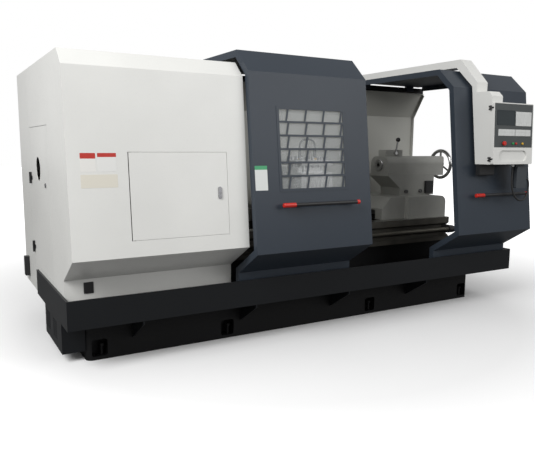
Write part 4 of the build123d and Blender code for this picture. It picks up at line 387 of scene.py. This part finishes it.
MATERIALS = {
    "white_paint": powder_coat("white_paint", WHITE_COLOUR, WHITE_ROUGH),
    "door_paint": powder_coat("door_paint", DOOR_COLOUR, DOOR_ROUGH, DARK_GLOSS),
    "dark_paint": powder_coat("dark_paint", (0.0075, 0.0085, 0.010), (0.36, 0.5), DARK_GLOSS),
    "base_paint": casting_paint("base_paint", (0.004, 0.004, 0.0045), DARK_GLOSS),
    "guard_paint": powder_coat("guard_paint", (0.46, 0.46, 0.425)),
    "casting_paint": casting_paint("casting_paint", (0.36, 0.36, 0.335)),
    "motor_paint": casting_paint("motor_paint", (0.05, 0.06, 0.08)),
    "bed_iron": bed_material(),
    "pulley_iron": turned_metal("pulley_iron", (0.12, 0.12, 0.12), ACROSS_X, (0.4, 0.6)),
    "machined_steel": turned_metal("machined_steel", (0.42, 0.42, 0.42), ACROSS_X),
    "hard_steel": turned_metal("hard_steel", (0.26, 0.26, 0.27), ACROSS_Z),
    "pipe_metal": powder_coat("pipe_metal", (0.012, 0.012, 0.013), (0.3, 0.42), DARK_GLOSS),
    "handwheel_chrome": surface("handwheel_chrome", (0.55, 0.55, 0.55), (0.08, 0.16), metallic=1.0,
                                spread=0.04, grain=90.0, relief=0.03),
    "feed_plastic": moulded("feed_plastic", (0.014, 0.014, 0.016)),
    "black_plastic": moulded("black_plastic", (0.012, 0.012, 0.013)),
    "panel_plastic": moulded("panel_plastic", (0.048, 0.055, 0.056)),
    "pendant_plastic": moulded("pendant_plastic", (0.045, 0.052, 0.060)),
    "red_plastic": moulded("red_plastic", (0.50, 0.018, 0.010), (0.22, 0.3)),
    "green_plastic": moulded("green_plastic", (0.02, 0.30, 0.08), (0.22, 0.3)),
    "stop_plastic": moulded("stop_plastic", (0.45, 0.02, 0.015), (0.22, 0.3)),
    "amber_plastic": moulded("amber_plastic", (0.60, 0.36, 0.03), (0.22, 0.3)),
    "key_plastic": moulded("key_plastic", (0.60, 0.61, 0.60), (0.4, 0.5)),
    "belt_rubber": moulded("belt_rubber", (0.012, 0.012, 0.012), (0.6, 0.75)),
    "cable_rubber": moulded("cable_rubber", (0.014, 0.014, 0.014), (0.5, 0.62)),
    "guard_wire": powder_coat("guard_wire", DOOR_COLOUR, DOOR_ROUGH, DARK_GLOSS),
    "window_glass": glass_material("window_glass", (0.55, 0.58, 0.58), 0.22, (0.05, 0.12)),
    "screen_glass": glass_material("screen_glass", (0.02, 0.028, 0.032), 1.0, (0.08, 0.16)),
}
BRASS = surface("brass", (0.62, 0.42, 0.16), (0.22, 0.38), metallic=1.0, spread=0.08, patch=20.0,
                grain=300.0)
SCREW_METAL = turned_metal("screw_metal", (0.20, 0.20, 0.20), ACROSS_Z, (0.3, 0.45))
THREAD_METAL = turned_metal("thread_metal", (0.11, 0.105, 0.09), ACROSS_X, (0.45, 0.6))


def dress_nodes():
    """Gives every node the material of its slot."""
    for part in frame["record"]["subparts"]:
        name = part["node"]
        material = MATERIALS[part["material_slot"]]
        if name in HINGED:
            material = hinged_paint(f"{name}_paint", WHITE_COLOUR, WHITE_ROUGH, HINGED[name])
        for slot in NODES[name].material_slots:
            slot.material = material


# Pieces
def new_piece(name, data, material):
    """A piece of the scene, from a mesh or a curve in one material."""
    piece = bpy.data.objects.new(name, data)
    bpy.context.scene.collection.objects.link(piece)
    data.materials.append(material)
    return piece


def finished_mesh(name, form):
    """The mesh of a form that is complete."""
    mesh = bpy.data.meshes.new(name)
    form.to_mesh(mesh)
    form.free()
    return mesh


def touch(node, place, direction):
    """The first point of a node's surface on a line, and the surface's normal there."""
    found, point, normal, _ = NODES[node].ray_cast(Vector(place), Vector(direction))
    if not found:
        raise ValueError(f"nothing of {node} lies on that line")
    return point, normal


def on_surface(point, normal, up=Vector((0.0, 0.0, 1.0))):
    """The transform whose z is the surface's normal and whose y is as near upright as it can be."""
    across = up.cross(normal).normalized()
    upright = normal.cross(across)
    turn = Matrix((across, upright, normal)).transposed().to_4x4()
    return Matrix.Translation(point) @ turn


def rings_mesh(name, rings):
    """A closed mesh through rings of the same number of points, capped at both ends."""
    form = bmesh.new()
    loops = [[form.verts.new(point) for point in ring] for ring in rings]
    for below, above in zip(loops, loops[1:]):
        for index in range(len(below)):
            after = (index + 1) % len(below)
            form.faces.new((below[index], below[after], above[after], above[index]))
    form.faces.new(reversed(loops[0]))
    form.faces.new(loops[-1])
    return finished_mesh(name, form)


def rounded_ring(half_x, half_y, radius, height, corner_steps=5):
    """The points of a rounded rectangle at a height, anticlockwise."""
    points = []
    for quarter, (side_x, side_y) in enumerate(((1, 1), (-1, 1), (-1, -1), (1, -1))):
        for step in range(corner_steps + 1):
            angle = math.pi / 2 * (quarter + step / corner_steps)
            x = side_x * (half_x - radius) + radius * math.cos(angle)
            y = side_y * (half_y - radius) + radius * math.sin(angle)
            points.append((x, y, height))
    return points


def field_pieces():
    """The plain coloured fields on the cover and on the first door."""
    for name, (node, body, left, right, bottom, top, share) in FIELDS.items():
        half_x = (right - left) / 2
        half_y = (top - bottom) / 2
        point, normal = touch(node, ((left + right) / 2, cad_box[0][1], (bottom + top) / 2), (0, 1, 0))
        rings = [
            rounded_ring(half_x, half_y, FIELD_ROUND, 0.0),
            rounded_ring(half_x, half_y, FIELD_ROUND, FIELD_THICKNESS * FIELD_SHOULDER),
            rounded_ring(half_x - FIELD_EDGE, half_y - FIELD_EDGE, FIELD_ROUND, FIELD_THICKNESS),
        ]
        material = banded_material(name, *FIELD_COLOURS[name], half_y - 2 * half_y * share)
        piece = new_piece(name, rings_mesh(name, rings), material)
        piece.matrix_world = on_surface(point, normal)
        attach(piece, body)


def block_pieces():
    """Small black boxes with rounded edges on the cover's skirt and on the tailstock."""
    for name, (node, body, left, right, bottom, top, depth) in BLOCKS.items():
        half_x = (right - left) / 2
        half_y = (top - bottom) / 2
        centre = ((left + right) / 2, cad_box[0][1], (bottom + top) / 2)
        if body == "tailstock":
            centre = (centre[0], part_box(node)[0][1] - depth, centre[2])
        point, normal = touch(node, centre, (0, 1, 0))
        edge = depth * BLOCK_EDGE
        rings = [
            rounded_ring(half_x, half_y, BLOCK_ROUND, 0.0),
            rounded_ring(half_x, half_y, BLOCK_ROUND, depth * BLOCK_SHOULDER),
            rounded_ring(half_x - edge, half_y - edge, BLOCK_ROUND, depth),
        ]
        piece = new_piece(name, rings_mesh(name, rings), MATERIALS["black_plastic"])
        piece.matrix_world = on_surface(point, normal)
        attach(piece, body)


def thread_rows(form, start, turns, axis_y, axis_z):
    """Rows of points wound round the screw, each one step further along the thread's form."""
    radii = (THREAD_ROOT, THREAD_ROOT, THREAD_CREST, THREAD_CREST)
    rows = []
    for step in range(turns * THREAD_STEPS + 1):
        reach = radii[step % THREAD_STEPS]
        row = []
        for side in range(THREAD_SIDES):
            angle = 2 * math.pi * side / THREAD_SIDES
            x = start + THREAD_PITCH * (step / THREAD_STEPS + side / THREAD_SIDES)
            y = axis_y + reach * math.cos(angle)
            row.append(form.verts.new((x, y, axis_z + reach * math.sin(angle))))
        rows.append(row)
    return rows


def thread_faces(form, rows):
    """The thread's surface between its rows, closed where a turn meets the next."""
    for index, (row, after) in enumerate(zip(rows, rows[1:])):
        for side in range(THREAD_SIDES - 1):
            form.faces.new((row[side], row[side + 1], after[side + 1], after[side]))
        if index + THREAD_STEPS + 1 < len(rows):
            first = rows[index + THREAD_STEPS]
            second = rows[index + THREAD_STEPS + 1]
            form.faces.new((row[-1], first[0], second[0], after[-1]))


def plain_end(form, left, right, axis_y, axis_z):
    """A plain round end of the screw."""
    sides = 2 * THREAD_SIDES
    ends = []
    for x in (left, right):
        ring = []
        for side in range(sides):
            angle = 2 * math.pi * side / sides
            y = axis_y + THREAD_CREST * math.cos(angle)
            ring.append(form.verts.new((x, y, axis_z + THREAD_CREST * math.sin(angle))))
        ends.append(ring)
    for side in range(sides):
        after = (side + 1) % sides
        form.faces.new((ends[0][side], ends[0][after], ends[1][after], ends[1][side]))
    form.faces.new(reversed(ends[0]))
    form.faces.new(ends[1])


def feed_screw_piece():
    """The feed screw with its thread between two plain ends."""
    low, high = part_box("feed_screw")
    axis_y = (low[1] + high[1]) / 2
    axis_z = (low[2] + high[2]) / 2
    start = low[0] + JOURNAL_LENGTH - THREAD_RUN_IN * THREAD_PITCH
    turns = int((high[0] - low[0] - 2 * JOURNAL_LENGTH) / THREAD_PITCH) + THREAD_RUN_IN
    form = bmesh.new()
    thread_faces(form, thread_rows(form, start, turns, axis_y, axis_z))
    for left, right in ((low[0], low[0] + JOURNAL_LENGTH), (high[0] - JOURNAL_LENGTH, high[0])):
        plain_end(form, left, right, axis_y, axis_z)
    piece = new_piece("feed_screw_thread", finished_mesh("feed_screw_thread", form), THREAD_METAL)
    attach(piece, "feed_screw")
    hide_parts("feed_screw")


def knob_piece():
    """The black ball moulded on the end of the tailstock's lever."""
    low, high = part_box("tailstock_lever")
    form = bmesh.new()
    bmesh.ops.create_uvsphere(form, u_segments=KNOB_SIDES, v_segments=KNOB_SIDES // 2,
                              radius=KNOB_RADIUS + KNOB_SKIN)
    mesh = finished_mesh("tailstock_lever_knob", form)
    mesh.polygons.foreach_set("use_smooth", [True] * len(mesh.polygons))
    piece = new_piece("tailstock_lever_knob", mesh, MATERIALS["black_plastic"])
    piece.location = (high[0] - KNOB_RADIUS, low[1] + KNOB_RADIUS, high[2] - KNOB_RADIUS)
    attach(piece, "tailstock_lever")


def screw_pieces():
    """The tailstock's clamp screws and the screws round the chuck's face."""
    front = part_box("tailstock_body")[0][1]
    for index, (x, z) in enumerate(CLAMP_SCREWS, 1):
        place = (x, front - CLAMP_SCREW_HEIGHT, z)
        name = f"tailstock_clamp_screw_{index}"
        size = (CLAMP_SCREW_RADIUS, CLAMP_SCREW_HEIGHT)
        screw(name, *size, "tailstock_body", "tailstock", place, (0, 1, 0))
    low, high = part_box("chuck_body")
    axis_z = (low[2] + high[2]) / 2
    for index in range(CHUCK_SCREW_COUNT):
        angle = 2 * math.pi * (index + 0.5) / CHUCK_SCREW_COUNT
        y = CHUCK_SCREW_CIRCLE * math.cos(angle)
        z = axis_z + CHUCK_SCREW_CIRCLE * math.sin(angle)
        place = (high[0] + CHUCK_SCREW_HEIGHT, y, z)
        name = f"chuck_screw_{index + 1}"
        size = (CHUCK_SCREW_RADIUS, CHUCK_SCREW_HEIGHT)
        screw(name, *size, "chuck_body", "spindle_group", place, (-1, 0, 0))


def collar_pieces():
    """A brass collar round each end of the coolant pipe, on the tool post's top."""
    low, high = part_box("coolant_pipe")
    reach = (high[1] - low[1]) / 2
    middle = (low[1] + high[1]) / 2
    for name, x in (("coolant_collar_left", low[0] + reach), ("coolant_collar_right", high[0] - reach)):
        rings = [
            screw_ring(COLLAR_RADIUS, 0.0, True),
            screw_ring(COLLAR_RADIUS, COLLAR_HEIGHT * COLLAR_SHOULDER, True),
            screw_ring(COLLAR_RADIUS * COLLAR_CROWN, COLLAR_HEIGHT, False),
        ]
        piece = new_piece(name, rings_mesh(name, rings), BRASS)
        piece.matrix_world = Matrix.Translation((x, middle, low[2]))
        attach(piece, "tool_post")


def screw_ring(radius, height, hexagon):
    """A ring of points at a height, round or a hexagon."""
    sixth = math.pi / 3
    points = []
    for index in range(SCREW_SIDES):
        angle = 2 * math.pi * index / SCREW_SIDES
        reach = radius
        if hexagon:
            reach = radius * math.cos(sixth / 2) / math.cos(angle % sixth - sixth / 2)
        points.append((reach * math.cos(angle), reach * math.sin(angle), height))
    return points


def screw(name, radius, height, node, body, place, direction):
    """A socket-headed screw on a node's surface, where a line meets it."""
    edge = radius * SCREW_CHAMFER
    recess = radius * SCREW_RECESS
    rings = [
        screw_ring(radius, 0.0, False),
        screw_ring(radius, height - edge, False),
        screw_ring(radius - edge, height, False),
        screw_ring(recess, height, True),
        screw_ring(recess, height * SCREW_RECESS_FLOOR, True),
    ]
    piece = new_piece(name, rings_mesh(name, rings), SCREW_METAL)
    point, normal = touch(node, place, direction)
    up = Vector((0.0, 1.0, 0.0)) if abs(normal.z) > LEVEL else Vector((0.0, 0.0, 1.0))
    piece.matrix_world = on_surface(point, normal, up)
    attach(piece, body)


def cable_piece():
    """The pendant's cable, one smooth line along its route."""
    curve = bpy.data.curves.new("pendant_cable_run", "CURVE")
    curve.dimensions = "3D"
    curve.bevel_depth = CABLE_RADIUS * MM
    curve.bevel_resolution = CABLE_ROUNDNESS
    curve.use_fill_caps = True
    spline = curve.splines.new("NURBS")
    spline.points.add(len(CABLE_ROUTE) - 1)
    for point, place in zip(spline.points, CABLE_ROUTE):
        point.co = (*(value * MM for value in place), 1.0)
    spline.order_u = CABLE_ORDER
    spline.use_endpoint_u = True
    spline.resolution_u = CABLE_STEPS
    piece = new_piece("pendant_cable_run", curve, MATERIALS["cable_rubber"])
    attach(piece, "machine")
    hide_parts("pendant_cable")


# Stage
def floor():
    """The plain pale floor, which turns white away from the machine for the camera."""
    mesh = bpy.data.meshes.new("floor")
    corners = [(x * FLOOR_HALF, y * FLOOR_HALF, 0.0) for x, y in ((-1, -1), (1, -1), (1, 1), (-1, 1))]
    mesh.from_pydata(corners, [], [(0, 1, 2, 3)])
    material, tree, shader = new_material("floor")
    piece = new_piece("floor", mesh, material)
    path = tree.nodes.new("ShaderNodeLightPath")
    tint = mixed(tree, path.outputs["Is Camera Ray"], FLOOR_BOUNCE, FLOOR_PALE)
    tree.links.new(tint, shader.inputs["Base Color"])
    shader.inputs["Roughness"].default_value = FLOOR_ROUGH
    shader.inputs["Specular IOR Level"].default_value = FLOOR_GLOSS
    coordinates = tree.nodes.new("ShaderNodeTexCoord")
    distance = tree.nodes.new("ShaderNodeVectorMath")
    distance.operation = "LENGTH"
    tree.links.new(coordinates.outputs["Object"], distance.inputs[0])
    pale = ranged(tree, distance.outputs["Value"], 0.0, 1.0, *FLOOR_FADE)
    seen = tree.nodes.new("ShaderNodeMath")
    seen.operation = "MULTIPLY"
    tree.links.new(pale, seen.inputs[0])
    tree.links.new(path.outputs["Is Camera Ray"], seen.inputs[1])
    tree.links.new(seen.outputs["Value"], shader.inputs["Emission Strength"])
    shader.inputs["Emission Color"].default_value = WHITE_LIGHT


def world():
    """A pale world, white where the camera sees it or light passes through glass."""
    scene_world = bpy.data.worlds.new("world")
    scene_world.use_nodes = True
    tree = scene_world.node_tree
    background = tree.nodes["Background"]
    background.inputs["Color"].default_value = WHITE_LIGHT
    path = tree.nodes.new("ShaderNodeLightPath")
    seen = tree.nodes.new("ShaderNodeMath")
    seen.operation = "MAXIMUM"
    tree.links.new(path.outputs["Is Camera Ray"], seen.inputs[0])
    tree.links.new(path.outputs["Is Transmission Ray"], seen.inputs[1])
    strength = tree.nodes.new("ShaderNodeMapRange")
    strength.inputs["To Min"].default_value = WORLD_STRENGTH
    strength.inputs["To Max"].default_value = 1.0
    tree.links.new(seen.outputs["Value"], strength.inputs["Value"])
    tree.links.new(strength.outputs["Result"], background.inputs["Strength"])
    bpy.context.scene.world = scene_world


def lamp(name, place, size, power):
    """A square soft lamp aimed at the machine."""
    data = bpy.data.lights.new(name, "AREA")
    data.size = size
    data.energy = power
    piece = bpy.data.objects.new(name, data)
    bpy.context.scene.collection.objects.link(piece)
    aim = Vector(AIM) - Vector(place)
    piece.matrix_world = Matrix.Translation(place) @ aim.to_track_quat("-Z", "Y").to_matrix().to_4x4()


def camera():
    """The camera, turned by its yaw, pitch and roll."""
    data = bpy.data.cameras.new("camera")
    data.lens = CAMERA_LENS
    data.sensor_width = CAMERA_SENSOR
    data.sensor_fit = "HORIZONTAL"
    yaw = math.radians(CAMERA_YAW)
    pitch = math.radians(CAMERA_PITCH)
    roll = math.radians(CAMERA_ROLL)
    forward = Vector((math.sin(yaw) * math.cos(pitch), math.cos(yaw) * math.cos(pitch), math.sin(pitch)))
    right = Vector((math.cos(yaw), -math.sin(yaw), 0.0))
    up = right.cross(forward)
    across = right * math.cos(roll) - up * math.sin(roll)
    above = right * math.sin(roll) + up * math.cos(roll)
    turn = Matrix((across, above, -forward)).transposed().to_4x4()
    piece = bpy.data.objects.new("camera", data)
    bpy.context.scene.collection.objects.link(piece)
    piece.matrix_world = Matrix.Translation(CAMERA_PLACE) @ turn
    bpy.context.scene.camera = piece


dress_nodes()
field_pieces()
block_pieces()
feed_screw_piece()
knob_piece()
screw_pieces()
collar_pieces()
cable_piece()
floor()
world()
lamp("key_lamp", KEY_PLACE, KEY_SIZE, KEY_POWER)
lamp("fill_lamp", FILL_PLACE, FILL_SIZE, FILL_POWER)
camera()
bpy.context.scene.view_settings.view_transform = "Standard"
